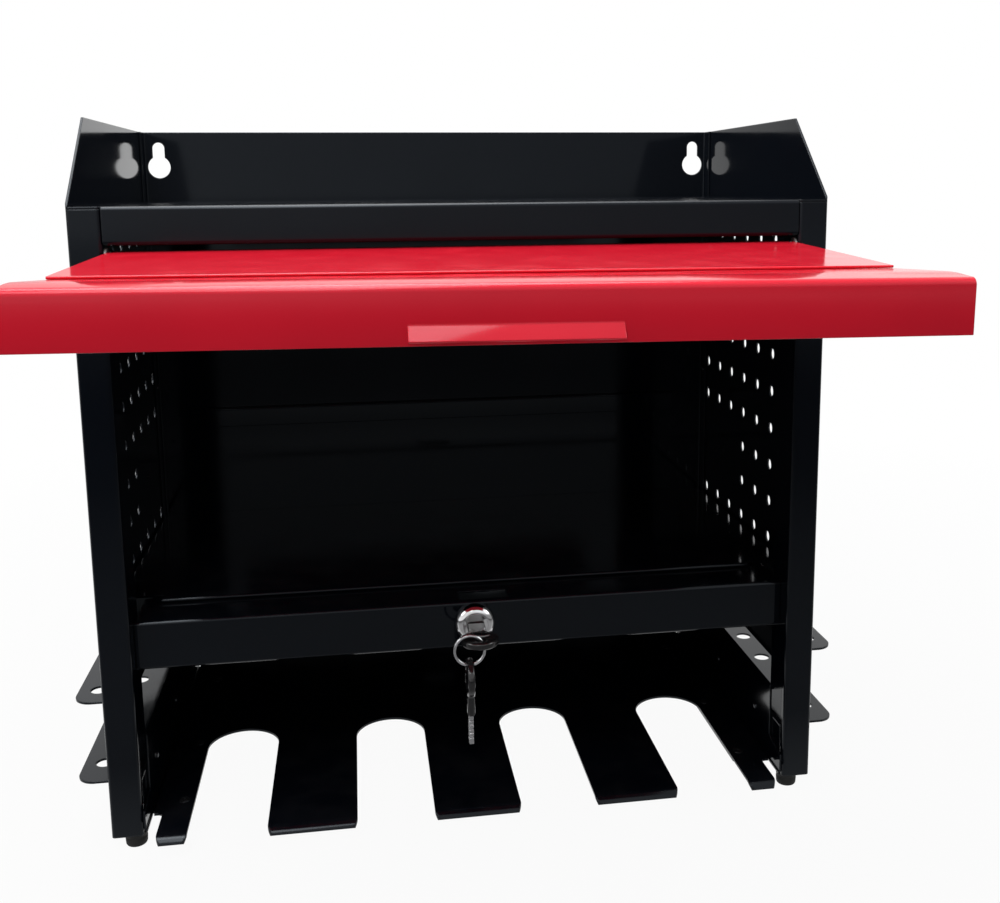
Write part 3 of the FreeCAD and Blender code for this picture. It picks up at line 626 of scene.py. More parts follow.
class EffectGroups:
    """Effects that several finishes share, each built once."""

    def __init__(self) -> None:
        """Build the groups."""
        self.peel = self._peel()
        self.edge = self._edge()
        self.dust = self._dust()
        self.grain = self._grain()

    @staticmethod
    def _group(name: str, inputs: Sequence[tuple[str, float]], outputs: Sequence[str],
               normals: Sequence[str] = ()) -> tuple[Wiring, bpy.types.Node, bpy.types.Node]:
        """Start a node group with named inputs and outputs.

        Args:
            name: Name of the group.
            inputs: Names and defaults of its inputs.
            outputs: Names of its value outputs.
            normals: Names of its vector outputs.

        Returns:
            The wiring, the group's input node and its output node.
        """
        tree = bpy.data.node_groups.new(name, "ShaderNodeTree")
        for label, value in inputs:
            socket = tree.interface.new_socket(name=label, in_out="INPUT", socket_type="NodeSocketFloat")
            socket.default_value = value
        for label in outputs:
            tree.interface.new_socket(name=label, in_out="OUTPUT", socket_type="NodeSocketFloat")
        for label in normals:
            tree.interface.new_socket(name=label, in_out="OUTPUT", socket_type="NodeSocketVector")
        wiring = Wiring(tree)
        return wiring, wiring.add("NodeGroupInput"), wiring.add("NodeGroupOutput")

    def _peel(self) -> bpy.types.NodeTree:
        """The orange peel and the fine flecks of a baked powder coat.

        Returns:
            The group.
        """
        wiring, inside, outside = self._group("Orange peel", [("Cells", 900.0), ("Fleck cells", 4200.0)],
                                              ["Height", "Flecks"])
        places = wiring.places()
        broad = wiring.noise(places, inside.outputs["Cells"], 2.0)
        fine = wiring.noise(places, inside.outputs["Fleck cells"], 0.0)
        height = wiring.plus(wiring.times(broad, 0.85), wiring.times(fine, 0.15))
        wiring.link(height, outside.inputs["Height"])
        wiring.link(wiring.range(fine, 0.68, 0.74), outside.inputs["Flecks"])
        return wiring.tree

    def _edge(self) -> bpy.types.NodeTree:
        """Rounded edges, and a mask of where they are.

        Returns:
            The group.
        """
        wiring, inside, outside = self._group("Worn edge", [("Radius", 0.0004), ("Breakup cells", 260.0)],
                                              ["Edge", "Worn"], ["Normal"])
        round_edge = wiring.add("ShaderNodeBevel", samples=4)
        wiring.link(inside.outputs["Radius"], round_edge.inputs["Radius"])
        face = wiring.add("ShaderNodeNewGeometry")
        agree = wiring.add("ShaderNodeVectorMath", operation="DOT_PRODUCT")
        wiring.link(round_edge.outputs["Normal"], agree.inputs[0])
        wiring.link(face.outputs["Normal"], agree.inputs[1])
        edge = wiring.range(agree.outputs["Value"], 0.98, 0.80)
        places = wiring.places()
        broken = wiring.range(wiring.noise(places, inside.outputs["Breakup cells"], 4.0), 0.52, 0.66)
        wiring.link(edge, outside.inputs["Edge"])
        wiring.link(wiring.times(edge, broken), outside.inputs["Worn"])
        wiring.link(round_edge.outputs["Normal"], outside.inputs["Normal"])
        return wiring.tree

    def _dust(self) -> bpy.types.NodeTree:
        """Dust that settles on upper faces, and smudges of handling.

        Returns:
            The group.
        """
        inputs = [("Dust cells", 55.0), ("Smudge cells", 14.0)]
        wiring, inside, outside = self._group("Dust and smudges", inputs, ["Dust", "Smudge"])
        places = wiring.places()
        normal = wiring.add("ShaderNodeNewGeometry").outputs["Normal"]
        upward = wiring.range(wiring.apart(normal)["Z"], 0.35, 0.95)
        clouds = wiring.range(wiring.noise(places, inside.outputs["Dust cells"], 5.0), 0.42, 0.72)
        motes = wiring.range(wiring.noise(places, 2600.0, 1.0), 0.66, 0.72)
        settled = wiring.times(upward, wiring.plus(wiring.times(clouds, 0.5), motes, clamp=True))
        smudge = wiring.range(wiring.noise(places, inside.outputs["Smudge cells"], 3.0), 0.40, 0.70)
        wiring.link(settled, outside.inputs["Dust"])
        wiring.link(smudge, outside.inputs["Smudge"])
        return wiring.tree

    def _grain(self) -> bpy.types.NodeTree:
        """The drawn grain and fine scratches of bare or plated metal.

        Returns:
            The group.
        """
        wiring, inside, outside = self._group("Drawn grain", [("Cells", 900.0), ("Scratch cells", 220.0)],
                                              ["Height", "Streaks", "Scratches"])
        places = wiring.places()
        streaks = wiring.noise(places, inside.outputs["Cells"], 3.0, (1.0, 0.06, 1.0))
        lines = wiring.noise(places, inside.outputs["Scratch cells"], 6.0, (1.0, 1.0, 0.03))
        scratches = wiring.range(wiring.math("ABSOLUTE", wiring.math("SUBTRACT", lines, 0.5)), 0.006, 0.0)
        height = wiring.math("SUBTRACT", streaks, wiring.times(scratches, 0.5))
        wiring.link(height, outside.inputs["Height"])
        wiring.link(streaks, outside.inputs["Streaks"])
        wiring.link(scratches, outside.inputs["Scratches"])
        return wiring.tree


class Dresser:
    """Places the shared groups in one material around its own shader."""

    def __init__(self, name: str) -> None:
        """Start a material.

        Args:
            name: Name of the finish.
        """
        self.material = bpy.data.materials.new(name)
        self.material.use_nodes = True
        self.wiring = Wiring(self.material.node_tree)
        self.shader = self.material.node_tree.nodes["Principled BSDF"]

    def group(self, tree: bpy.types.NodeTree, **values: float) -> bpy.types.Node:
        """Place a group.

        Args:
            tree: The group.
            **values: Its inputs, with underscores for spaces.

        Returns:
            The node that holds it.
        """
        node = self.wiring.add("ShaderNodeGroup", node_tree=tree)
        for name, value in values.items():
            node.inputs[name.replace("_", " ")].default_value = value
        return node

    def bump(self, height: Socket, distance: float, strength: float,
             normal: Optional[Socket] = None) -> None:
        """Give the surface relief.

        Args:
            height: The height over the surface.
            distance: The full height in metres.
            strength: How much of it shows.
            normal: A rounded normal to start from.
        """
        node = self.wiring.add("ShaderNodeBump")
        node.inputs["Strength"].default_value = strength
        node.inputs["Distance"].default_value = distance
        self.wiring.link(height, node.inputs["Height"])
        if normal:
            self.wiring.link(normal, node.inputs["Normal"])
        self.wiring.link(node.outputs["Normal"], self.shader.inputs["Normal"])

    def feed(self, socket: str, value: object) -> None:
        """Link a socket or set a constant on the shader."""
        self.wiring.put(value, self.shader.inputs[socket])


@dataclass(frozen=True)
class PowderCoat:
    """Gloss powder coat, baked on folded sheet. Relief and edges are in metres, cells to the metre."""

    name: str
    colour: Colour
    deep: Colour
    worn: Colour
    dust: Colour = (0.30, 0.29, 0.28)
    roughness: float = 0.07
    gloss: float = 0.25
    dust_amount: float = 0.03
    wear_amount: float = 0.30
    relief: float = 0.0000025
    cells: float = 480.0
    edge_radius: float = 0.00045
    sheen: tuple[float, float, float, float] = (0.84, 0.92, 1.0, 1.0)

    def build(self, effects: EffectGroups) -> bpy.types.Material:
        """Build the material from the shared effects.

        Args:
            effects: The shared groups.

        Returns:
            The material.
        """
        dresser = Dresser(self.name)
        wiring = dresser.wiring
        peel = dresser.group(effects.peel, Cells=self.cells)
        edge = dresser.group(effects.edge, Radius=self.edge_radius)
        dust = dresser.group(effects.dust)
        body = wiring.blend(wiring.times(dust.outputs["Smudge"], 0.6), self.colour, self.deep)
        flecked = wiring.blend(wiring.times(peel.outputs["Flecks"], 0.25), body, self.worn)
        rubbed = wiring.blend(wiring.times(edge.outputs["Worn"], self.wear_amount), flecked, self.worn)
        settled = wiring.times(dust.outputs["Dust"], self.dust_amount)
        dresser.feed("Base Color", wiring.blend(settled, rubbed, self.dust))
        rough = wiring.plus(self.roughness, wiring.times(dust.outputs["Smudge"], 0.05))
        rough = wiring.plus(rough, wiring.times(dust.outputs["Dust"], 0.12))
        dresser.feed("Roughness", rough)
        dresser.feed("Specular IOR Level", self.gloss)
        dresser.feed("Specular Tint", self.sheen)
        dresser.bump(peel.outputs["Height"], self.relief, 1.0, edge.outputs["Normal"])
        return dresser.material


@dataclass(frozen=True)
class PlatedMetal:
    """Plated or polished metal with a little grain. Relief and edges are in metres, cells to the metre."""

    name: str
    colour: Colour
    tarnish: Colour
    roughness: float
    streak: float = 0.08
    relief: float = 0.000004
    cells: float = 1400.0
    edge_radius: float = 0.00025

    def build(self, effects: EffectGroups) -> bpy.types.Material:
        """Build the material from the shared effects.

        Args:
            effects: The shared groups.

        Returns:
            The material.
        """
        dresser = Dresser(self.name)
        wiring = dresser.wiring
        grain = dresser.group(effects.grain, Cells=self.cells)
        edge = dresser.group(effects.edge, Radius=self.edge_radius)
        dust = dresser.group(effects.dust, Smudge_cells=90.0)
        tinted = wiring.blend(wiring.times(dust.outputs["Smudge"], 0.5), self.colour, self.tarnish)
        scratched = wiring.times(grain.outputs["Scratches"], 0.3)
        dresser.feed("Base Color", wiring.blend(scratched, tinted, self.tarnish))
        dresser.feed("Metallic", 1.0)
        rough = wiring.plus(self.roughness, wiring.times(grain.outputs["Streaks"], self.streak))
        rough = wiring.plus(rough, wiring.times(dust.outputs["Smudge"], 0.06))
        dresser.feed("Roughness", rough)
        dresser.bump(grain.outputs["Height"], self.relief, 0.6, edge.outputs["Normal"])
        return dresser.material


@dataclass(frozen=True)
class MouldedPart:
    """Moulded plastic or rubber with a fine grain. Relief and edges are in metres, cells to the metre."""

    name: str
    colour: Colour
    faded: Colour
    roughness: float
    gloss: float = 0.5
    relief: float = 0.00001
    cells: float = 2600.0
    edge_radius: float = 0.0003
    dust: Colour = (0.30, 0.29, 0.27)
    dust_amount: float = 0.08

    def build(self, effects: EffectGroups) -> bpy.types.Material:
        """Build the material from the shared effects.

        Args:
            effects: The shared groups.

        Returns:
            The material.
        """
        dresser = Dresser(self.name)
        wiring = dresser.wiring
        peel = dresser.group(effects.peel, Cells=self.cells, Fleck_cells=6000.0)
        edge = dresser.group(effects.edge, Radius=self.edge_radius)
        dust = dresser.group(effects.dust, Dust_cells=160.0, Smudge_cells=70.0)
        body = wiring.blend(wiring.times(dust.outputs["Smudge"], 0.5), self.colour, self.faded)
        rubbed = wiring.blend(wiring.times(edge.outputs["Edge"], 0.25), body, self.faded)
        settled = wiring.times(dust.outputs["Dust"], self.dust_amount)
        dresser.feed("Base Color", wiring.blend(settled, rubbed, self.dust))
        dresser.feed("Roughness", wiring.plus(self.roughness, wiring.times(dust.outputs["Smudge"], 0.12)))
        dresser.feed("Specular IOR Level", self.gloss)
        dresser.bump(peel.outputs["Height"], self.relief, 0.8, edge.outputs["Normal"])
        return dresser.material


class Finishes:
    """Every finish of the shelf, by slot."""

    def __init__(self) -> None:
        """Build the materials."""
        effects = EffectGroups()
        looks = {
            Slot.BLACK: PowderCoat("Black powder coat", (0.0013, 0.0022, 0.0044), (0.0009, 0.0016, 0.0034),
                                   (0.030, 0.030, 0.033), edge_radius=0.0010),
            Slot.RED: PowderCoat("Red powder coat", (0.62, 0.010, 0.026), (0.55, 0.008, 0.022),
                                 (0.70, 0.06, 0.08), dust=(0.56, 0.30, 0.30), roughness=0.09,
                                 wear_amount=0.18, dust_amount=0.02, gloss=0.30),
            Slot.CHROME: PlatedMetal("Lock chrome", (0.78, 0.78, 0.80), (0.52, 0.50, 0.47), 0.06,
                                     streak=0.03),
            Slot.STEEL: PlatedMetal("Bright zinc plate", (0.56, 0.56, 0.58), (0.36, 0.36, 0.37), 0.13,
                                    streak=0.10, relief=0.000005),
            Slot.RIVET: PowderCoat("Coated rivets", (0.005, 0.005, 0.006), (0.004, 0.004, 0.005),
                                   (0.16, 0.16, 0.17), roughness=0.14, gloss=0.4, wear_amount=0.5,
                                   edge_radius=0.0003),
            Slot.KEY_PLASTIC: MouldedPart("Key head plastic", (0.008, 0.008, 0.009), (0.022, 0.022, 0.024),
                                          0.08, gloss=0.6, relief=0.000003),
            # Painted shade: the washers' nylon is greyed far below its own near-white colour, to stand in for
            # the shade the washers sit in.
            Slot.WASHER: MouldedPart("Nylon greyed as painted shade", (0.17, 0.17, 0.165), (0.12, 0.12, 0.11), 0.42),
            Slot.RUBBER: MouldedPart("Foot rubber", (0.004, 0.004, 0.004), (0.012, 0.012, 0.011), 0.55,
                                     gloss=0.3, relief=0.00003, cells=1500.0, dust_amount=0.1),
        }
        self.by_slot = {slot: look.build(effects) for slot, look in looks.items()}

    def __getitem__(self, slot: Slot) -> bpy.types.Material:
        """The material of a slot."""
        return self.by_slot[slot]

    def dress_frame(self) -> None:
        """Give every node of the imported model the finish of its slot."""
        for part in frame["record"]["subparts"]:
            thing = frame["nodes"][part["node"]]
            thing.data.materials.clear()
            thing.data.materials.append(self[Slot(part["material_slot"])])
        log.info("dressed %d nodes", len(frame["nodes"]))


@dataclass
class Studio:
    """The floor, the backdrop light, the lamps and the camera.

    The eye is in millimetres on the shop drawing and the angles are in radians. A lamp has its place, the
    point it aims at, its size in metres and its power in watts.
    """

    eye: Spot = (-59.66, -601.22, 353.36)
    yaw: float = 0.1568
    pitch: float = 0.1642
    roll: float = -0.0079
    lens: float = 40.55
    sensor: float = 36.0
    clip: float = 0.01
    shift: tuple[float, float] = (-0.0338, -0.0784)
    floor_half: float = 8.0
    floor_colour: Colour = (0.34, 0.34, 0.34)
    floor_roughness: float = 0.9
    floor_share: float = 0.95
    mirror_share: float = 0.85
    mirror_near: float = 0.27
    mirror_dark: float = 0.03
    mirror_far: float = 0.50
    room: float = 0.32
    front_left: float = 1.0
    front_right: float = 0.28
    back_left: float = 0.4
    sky: float = 1.0
    lamps: dict[str, tuple[Spot, Spot, float, float]] = field(
        default_factory=lambda: {
            "Key": ((-0.42, -0.78, 1.50), (0.0, -0.10, 0.30), 0.95, 13.0),
            "Top": ((-0.15, 0.15, 1.60), (0.0, 0.0, 0.30), 1.2, 32.0),
            "Left": ((-1.30, -0.40, 1.05), (0.0, 0.0, 0.15), 0.5, 3.2),
            "Right": ((1.35, -0.55, 0.92), (0.0, 0.0, 0.15), 0.5, 3.0),
        })

    def floor(self) -> None:
        """Lay a plain pale floor that keeps the shadow."""
        Workpiece.clear()
        bpy.ops.mesh.primitive_plane_add(size=2.0 * self.floor_half, location=(0.0, 0.0, 0.0))
        floor = Workpiece.taken("studio_floor").thing
        dresser = Dresser("Studio floor")
        dresser.feed("Base Color", (*self.floor_colour, 1.0))
        dresser.feed("Roughness", self.floor_roughness)
        dresser.feed("Specular IOR Level", 0.0)
        wiring = dresser.wiring
        places = wiring.places()
        rays = wiring.add("ShaderNodeLightPath").outputs
        away = wiring.add("ShaderNodeVectorMath", operation="LENGTH")
        wiring.link(places, away.inputs[0])
        reach = away.outputs["Value"]
        near = wiring.range(reach, 0.3, 0.9, self.mirror_near, self.mirror_dark)
        far = wiring.range(reach, 1.5, 4.5, 0.0, self.mirror_far)
        behind = wiring.range(wiring.apart(places)["Y"], -0.16, 0.02, 0.0, 0.95)
        level = wiring.greater(wiring.greater(wiring.plus(near, far), behind), rays["Is Camera Ray"])
        glow = wiring.add("ShaderNodeEmission")
        wiring.link(level, glow.inputs["Strength"])
        seen = wiring.times(rays["Is Camera Ray"], wiring.range(reach, 0.35, 1.1, self.floor_share, 1.0))
        mirrored = wiring.plus(rays["Is Glossy Ray"], rays["Is Transmission Ray"], clamp=True)
        share = wiring.plus(seen, wiring.times(mirrored, self.mirror_share), clamp=True)
        wiring.mixed(share, dresser.shader.outputs[0], glow.outputs[0],
                     wiring.tree.nodes["Material Output"].inputs["Surface"])
        floor.data.materials.append(dresser.material)

    def world(self) -> None:
        """Set a white backdrop, pale behind the shelf and dim where the photographer stands."""
        world = bpy.data.worlds.new("Studio")
        bpy.context.scene.world = world
        world.use_nodes = True
        wiring = Wiring(world.node_tree)
        where = wiring.apart(wiring.places("Generated"))
        rays = wiring.add("ShaderNodeLightPath").outputs
        side = wiring.greater(wiring.range(where["X"], -0.5, 0.6, self.front_left, self.front_right),
                              wiring.range(where["Z"], 0.12, 0.30, 0.0, self.sky))
        corner = wiring.greater(wiring.range(where["X"], -0.45, 0.0, self.back_left, 1.0),
                                wiring.range(where["Z"], 0.15, 0.38))
        ahead = wiring.times(side, wiring.range(where["Y"], 0.3, -0.1))
        behind = wiring.times(wiring.range(where["Y"], -0.1, 0.3), corner)
        pale = wiring.greater(behind, rays["Is Camera Ray"])
        grounds = []
        for strength in (self.room, wiring.greater(ahead, pale)):
            ground = wiring.add("ShaderNodeBackground")
            wiring.put((1.0, 1.0, 1.0, 1.0), ground.inputs["Color"])
            wiring.put(strength, ground.inputs["Strength"])
            grounds.append(ground.outputs[0])
        mirrored = wiring.plus(rays["Is Glossy Ray"], rays["Is Transmission Ray"])
        seen = wiring.plus(rays["Is Camera Ray"], mirrored, clamp=True)
        wiring.mixed(seen, *grounds, wiring.tree.nodes["World Output"].inputs["Surface"])

    def light(self) -> None:
        """Hang the lamps."""
        for name, (place, aim, size, power) in self.lamps.items():
            lamp = bpy.data.lights.new(name, "AREA")
            lamp.size = size
            lamp.energy = power
            thing = bpy.data.objects.new(name, lamp)
            bpy.context.scene.collection.objects.link(thing)
            direction = Vector(aim) - Vector(place)
            thing.matrix_world = (Matrix.Translation(Vector(place))
                                  @ direction.to_track_quat("-Z", "Y").to_matrix().to_4x4())

    def camera(self) -> None:
        """Stand the camera where the photograph was taken."""
        forward = Vector((math.sin(self.yaw) * math.cos(self.pitch),
                          math.cos(self.yaw) * math.cos(self.pitch), -math.sin(self.pitch)))
        right = Vector((math.cos(self.yaw), -math.sin(self.yaw), 0.0))
        up = right.cross(forward)
        across = math.cos(self.roll) * right + math.sin(self.roll) * up
        upward = -math.sin(self.roll) * right + math.cos(self.roll) * up
        turn = Matrix((across, upward, -forward)).transposed().to_4x4()
        lens = bpy.data.cameras.new("Camera")
        lens.lens = self.lens
        lens.sensor_width = self.sensor
        lens.sensor_fit = "HORIZONTAL"
        lens.shift_x, lens.shift_y = self.shift
        lens.clip_start = self.clip
        camera = bpy.data.objects.new("Camera", lens)
        bpy.context.scene.collection.objects.link(camera)
        camera.matrix_world = Matrix.Translation(at(*self.eye)) @ turn
        bpy.context.scene.camera = camera

    def build(self) -> None:
        """Set up the whole studio."""
        self.floor()
        self.world()
        self.light()
        self.camera()
        bpy.context.scene.view_settings.view_transform = "Standard"
        log.info("studio set")


@dataclass
class Assembly:
    """A sub-assembly and the materials that dress it."""

    finishes: Finishes


@dataclass
class Rivets(Assembly):
    """Pull rivets, in millimetres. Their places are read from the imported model."""

    sides: int = 28
    head_radius: float = 3.2
    head_height: float = 1.0
    rim_share: float = 0.30
    dome: Pairs = ((0.82, 0.35), (0.62, 0.22), (0.36, 0.13))
    shank_radius: float = 1.6
    mandrel_radius: float = 0.75
    mandrel_depth: float = 0.45
    mandrel_lip: tuple[float, float] = (0.25, 0.2)
    seat_radius: float = 2.9
    flush_length: float = 3.7
    tail_spread: float = 1.5
    tail: Pairs = ((1.38, 0.6), (0.828, 0.4))

    @staticmethod
    def islands(node: str) -> list[list[Vector]]:
        """Find the separate rivets of a node.

        Args:
            node: Name of the CAD node.

        Returns:
            The corner points of each rivet.
        """
        mesh = bmesh.new()
        mesh.from_mesh(frame["nodes"][node].data)
        bmesh.ops.remove_doubles(mesh, verts=mesh.verts, dist=TINY)
        left = set(mesh.verts)
        found = []
        while left:
            stack = [left.pop()]
            points = []
            while stack:
                corner = stack.pop()
                points.append(corner.co.copy())
                for edge in corner.link_edges:
                    other = edge.other_vert(corner)
                    if other in left:
                        left.remove(other)
                        stack.append(other)
            found.append(points)
        mesh.free()
        return found

    def lie(self, points: list[Vector]) -> tuple[Vector, Vector, float]:
        """Read how one rivet lies.

        Args:
            points: The corner points of the rivet.

        Returns:
            The middle of its head's seat, the direction from head to tail, and its full length.
        """
        low, high = extent(points)
        spans = [high[k] - low[k] for k in range(3)]
        along = spans.index(min(spans))
        middle = (low + high) / 2.0
        across = Vector([0.0 if k == along else 1.0 for k in range(3)])
        wide = [point[along] for point in points
                if ((point - middle) * across).length > self.seat_radius * MM]
        sign = 1.0 if sum(wide) / len(wide) < middle[along] else -1.0
        direction = Vector([sign if k == along else 0.0 for k in range(3)])
        seat = middle.copy()
        seat[along] = (low[along] if sign > 0 else high[along]) + sign * self.head_height * MM
        return seat, direction, spans[along]

    def model(self, length: float, flush: bool) -> Workpiece:
        """Model one rivet, its head's seat at the origin and its shank upward.

        Args:
            length: Full length in metres.
            flush: Whether the tail is dressed flush.

        Returns:
            The rivet.
        """
        height = self.head_height * MM
        rivet = Workpiece.round_bar("pull_rivet", self.head_radius * MM, height * self.rim_share, Vector(),
                                    Axis.DOWN, self.sides)
        rivet.pick_end(Axis.DOWN)
        rivet.draw_out(Axis.DOWN, [(share, height * part) for share, part in self.dome], Vector())
        rivet.inset((self.dome[-1][0] * self.head_radius - self.mandrel_radius) * MM)
        rivet.extrude(Vector((0.0, 0.0, height * self.mandrel_depth)))
        wide, deep = self.mandrel_lip
        rivet.inset(self.mandrel_radius * MM * wide, -height * deep)
        rivet.pick_faces(lambda middle, normal: normal.z > FACING and middle.z > -TINY)
        rivet.inset((self.head_radius - self.shank_radius) * MM)
        steps = [(1.0, length - height)]
        if not flush:
            steps = [(share, part * MM) for share, part in self.tail]
            steps.insert(0, (self.tail_spread, length - height - MM))
        rivet.draw_out(Axis.UP, steps, Vector())
        return rivet

    def build(self) -> None:
        """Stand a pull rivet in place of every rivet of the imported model."""
        models: dict[tuple[int, bool], Workpiece] = {}
        for node in ("fork_rivets", "rack_rivets", "frame_rivets"):
            copies = []
            for points in self.islands(node):
                seat, direction, length = self.lie(points)
                flush = length < self.flush_length * MM
                key = (round(length / MM * 100), flush)
                if key not in models:
                    models[key] = self.model(length, flush)
                move = Matrix.Translation(seat) @ upright_to(direction)
                copies.append(models[key].copy(node + "_pull", move))
            first = copies[0]
            first.gather(copies[1:])
            first.thing.name = "pull_" + node
            first.hand_over("cabinet", self.finishes, Slot.RIVET, node)
        for model in models.values():
            model.scrap()


@dataclass
class Door(Assembly):
    """The lift-up door: its flat, its front strip and its pull, in millimetres about its hinge line."""

    hinge_depth: float = 5.0
    hinge_height: float = 319.0
    droop: float = 2.0
    half: float = 184.0
    sheet: float = 1.2
    hem: float = 0.51
    edge: float = 0.35
    sharp: float = 50.0
    twist: float = -0.56
    outline: Pairs = ((-110.0, 1.6), (-122.0, 1.6), (-175.0, 6.25), (-193.0, 5.8), (-193.8, -17.2))
    folds: tuple[tuple[float, int], ...] = ((2.0, 3), (111.2, 12), (3.2, 8))
    cap: Pairs = ((-126.0, 0.7), (-175.0, 4.9), (-191.8, 4.5), (-192.55, -16.4), (-190.0, -16.4),
                  (-126.0, -4.4))
    pull_half: float = 41.0
    pull: Pairs = ((-192.4, -7.8), (-197.6, -15.0))

    @property
    def place(self) -> Matrix:
        """Where the hinge line lies, and how far the door droops."""
        return (Matrix.Translation(at(0.0, self.hinge_depth, self.hinge_height))
                @ Matrix.Rotation(math.radians(self.droop), 4, "X"))

    def _path(self) -> list[Vector]:
        """Work out the strip's outer face with its folds rounded.

        Returns:
            Its points, from the rear edge over the crown to the lip.
        """
        corners = [mm(0.0, y, z) for y, z in self.outline]
        path = [corners[0]]
        for before, corner, after, (radius, steps) in zip(corners, corners[1:], corners[2:], self.folds):
            arriving = (corner - before).normalized()
            leaving = (after - corner).normalized()
            turn = arriving.angle(leaving)
            reach = radius * MM * math.tan(turn / 2.0)
            inward = (leaving - arriving).normalized()
            centre = corner + inward * (radius * MM / math.cos(turn / 2.0))
            first = corner - arriving * reach - centre
            last = corner + leaving * reach - centre
            path += [centre + first.normalized().slerp(last.normalized(), step / steps) * radius * MM
                     for step in range(steps + 1)]
        return path + [corners[-1]]

    def strip(self) -> Workpiece:
        """Fold the crowned strip from a narrow blank, edge by edge, and give it its thickness.

        Returns:
            The strip.
        """
        path = self._path()
        left, right = (Vector((side * self.half * MM, 0.0, 0.0)) for side in (-1.0, 1.0))
        blank = [left + path[0], right + path[0], right + path[1], left + path[1]]
        strip = Workpiece.plate("strip", blank)
        for now, then in zip(path[1:], path[2:]):
            strip.pick_edges(lambda middle, along, spot=now:
                             abs(along.x) > ALONG and (middle - spot).length < TINY)
            strip.extrude(then - now)
        strip.face_outward()
        mesh = bmesh.from_edit_mesh(strip.thing.data)
        crown = max(mesh.faces, key=lambda face: face.calc_center_median().z)
        if crown.normal.z < 0.0:
            bpy.ops.mesh.flip_normals()
        strip.modify("SOLIDIFY", thickness=self.sheet * MM, offset=-1.0, use_even_offset=True)
        strip.round_off(self.edge * MM, 3, self.sharp)
        return strip

    def caps(self) -> list[Workpiece]:
        """Cut the plates that close the strip's ends.

        Returns:
            The two plates.
        """
        plates = []
        for side in (-1.0, 1.0):
            corners = [mm(side * self.half, y, z) for y, z in self.cap]
            plate = Workpiece.plate("cap", corners, mm(-side * self.sheet, 0.0, 0.0))
            plate.round_off(self.edge * 0.5 * MM, 2, self.sharp)
            plates.append(plate)
        return plates

    def tab(self) -> Workpiece:
        """Cut the pull and lean it against the lip.

        Returns:
            The pull.
        """
        (near, top), (far, low) = self.pull
        corners = [mm(side * self.pull_half, y, z)
                   for side, y, z in ((-1.0, near, top), (1.0, near, top), (1.0, far, low), (-1.0, far, low))]
        inward = Vector((0.0, top - low, far - near)).normalized()
        tab = Workpiece.plate("pull", corners, inward * self.sheet * MM)
        tab.round_off(self.edge * MM, 3, self.sharp)
        return tab

    def flat(self) -> Workpiece:
        """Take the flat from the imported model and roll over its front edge.

        Returns:
            The flat.
        """
        flat = Workpiece.from_node("door_skin", "door_panel")
        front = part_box("door_panel")[0].y
        flat.pick_edges(lambda middle, along: abs(along.x) > ALONG and middle.y < front + 0.2 * MM)
        flat.bevel(self.hem * MM, 4)
        return flat

    def _twist(self, skin: Workpiece) -> None:
        """Let the sheet twist a little towards its free edge, as the photographed door does.

        Args:
            skin: The door's sheet.
        """
        Workpiece.clear()
        bpy.ops.object.empty_add(location=at(0.0, self.hinge_depth, self.hinge_height))
        pivot = bpy.context.object
        skin.modify("SIMPLE_DEFORM", deform_method="TWIST", deform_axis="Y", origin=pivot,
                    angle=math.radians(self.twist))
        bpy.data.objects.remove(pivot, do_unlink=True)

    def build(self) -> None:
        """Build the door's skin over its hinge."""
        front = self.strip()
        front.gather(self.caps() + [self.tab()])
        hung = front.copy("strip_hung", self.place)
        front.scrap()
        skin = self.flat()
        skin.gather([hung])
        self._twist(skin)
        skin.hand_over("door", self.finishes, Slot.RED, "door_panel", "door_front_strip")


@dataclass
class Stiffener(Assembly):
    """The angle across the back, its upper edge dressed round, in millimetres."""

    roll: float = 1.0

    def build(self) -> None:
        """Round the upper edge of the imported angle."""
        angle = Workpiece.from_node("stiffener_dressed", "rear_stiffener")
        low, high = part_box("rear_stiffener")
        angle.pick_edges(lambda middle, along: abs(along.x) > ALONG and middle.z > high.z - 0.05 * MM
                         and middle.y < (low.y + high.y) / 2.0)
        angle.bevel(self.roll * MM, 5)
        angle.hand_over("cabinet", self.finishes, Slot.BLACK, "rear_stiffener")


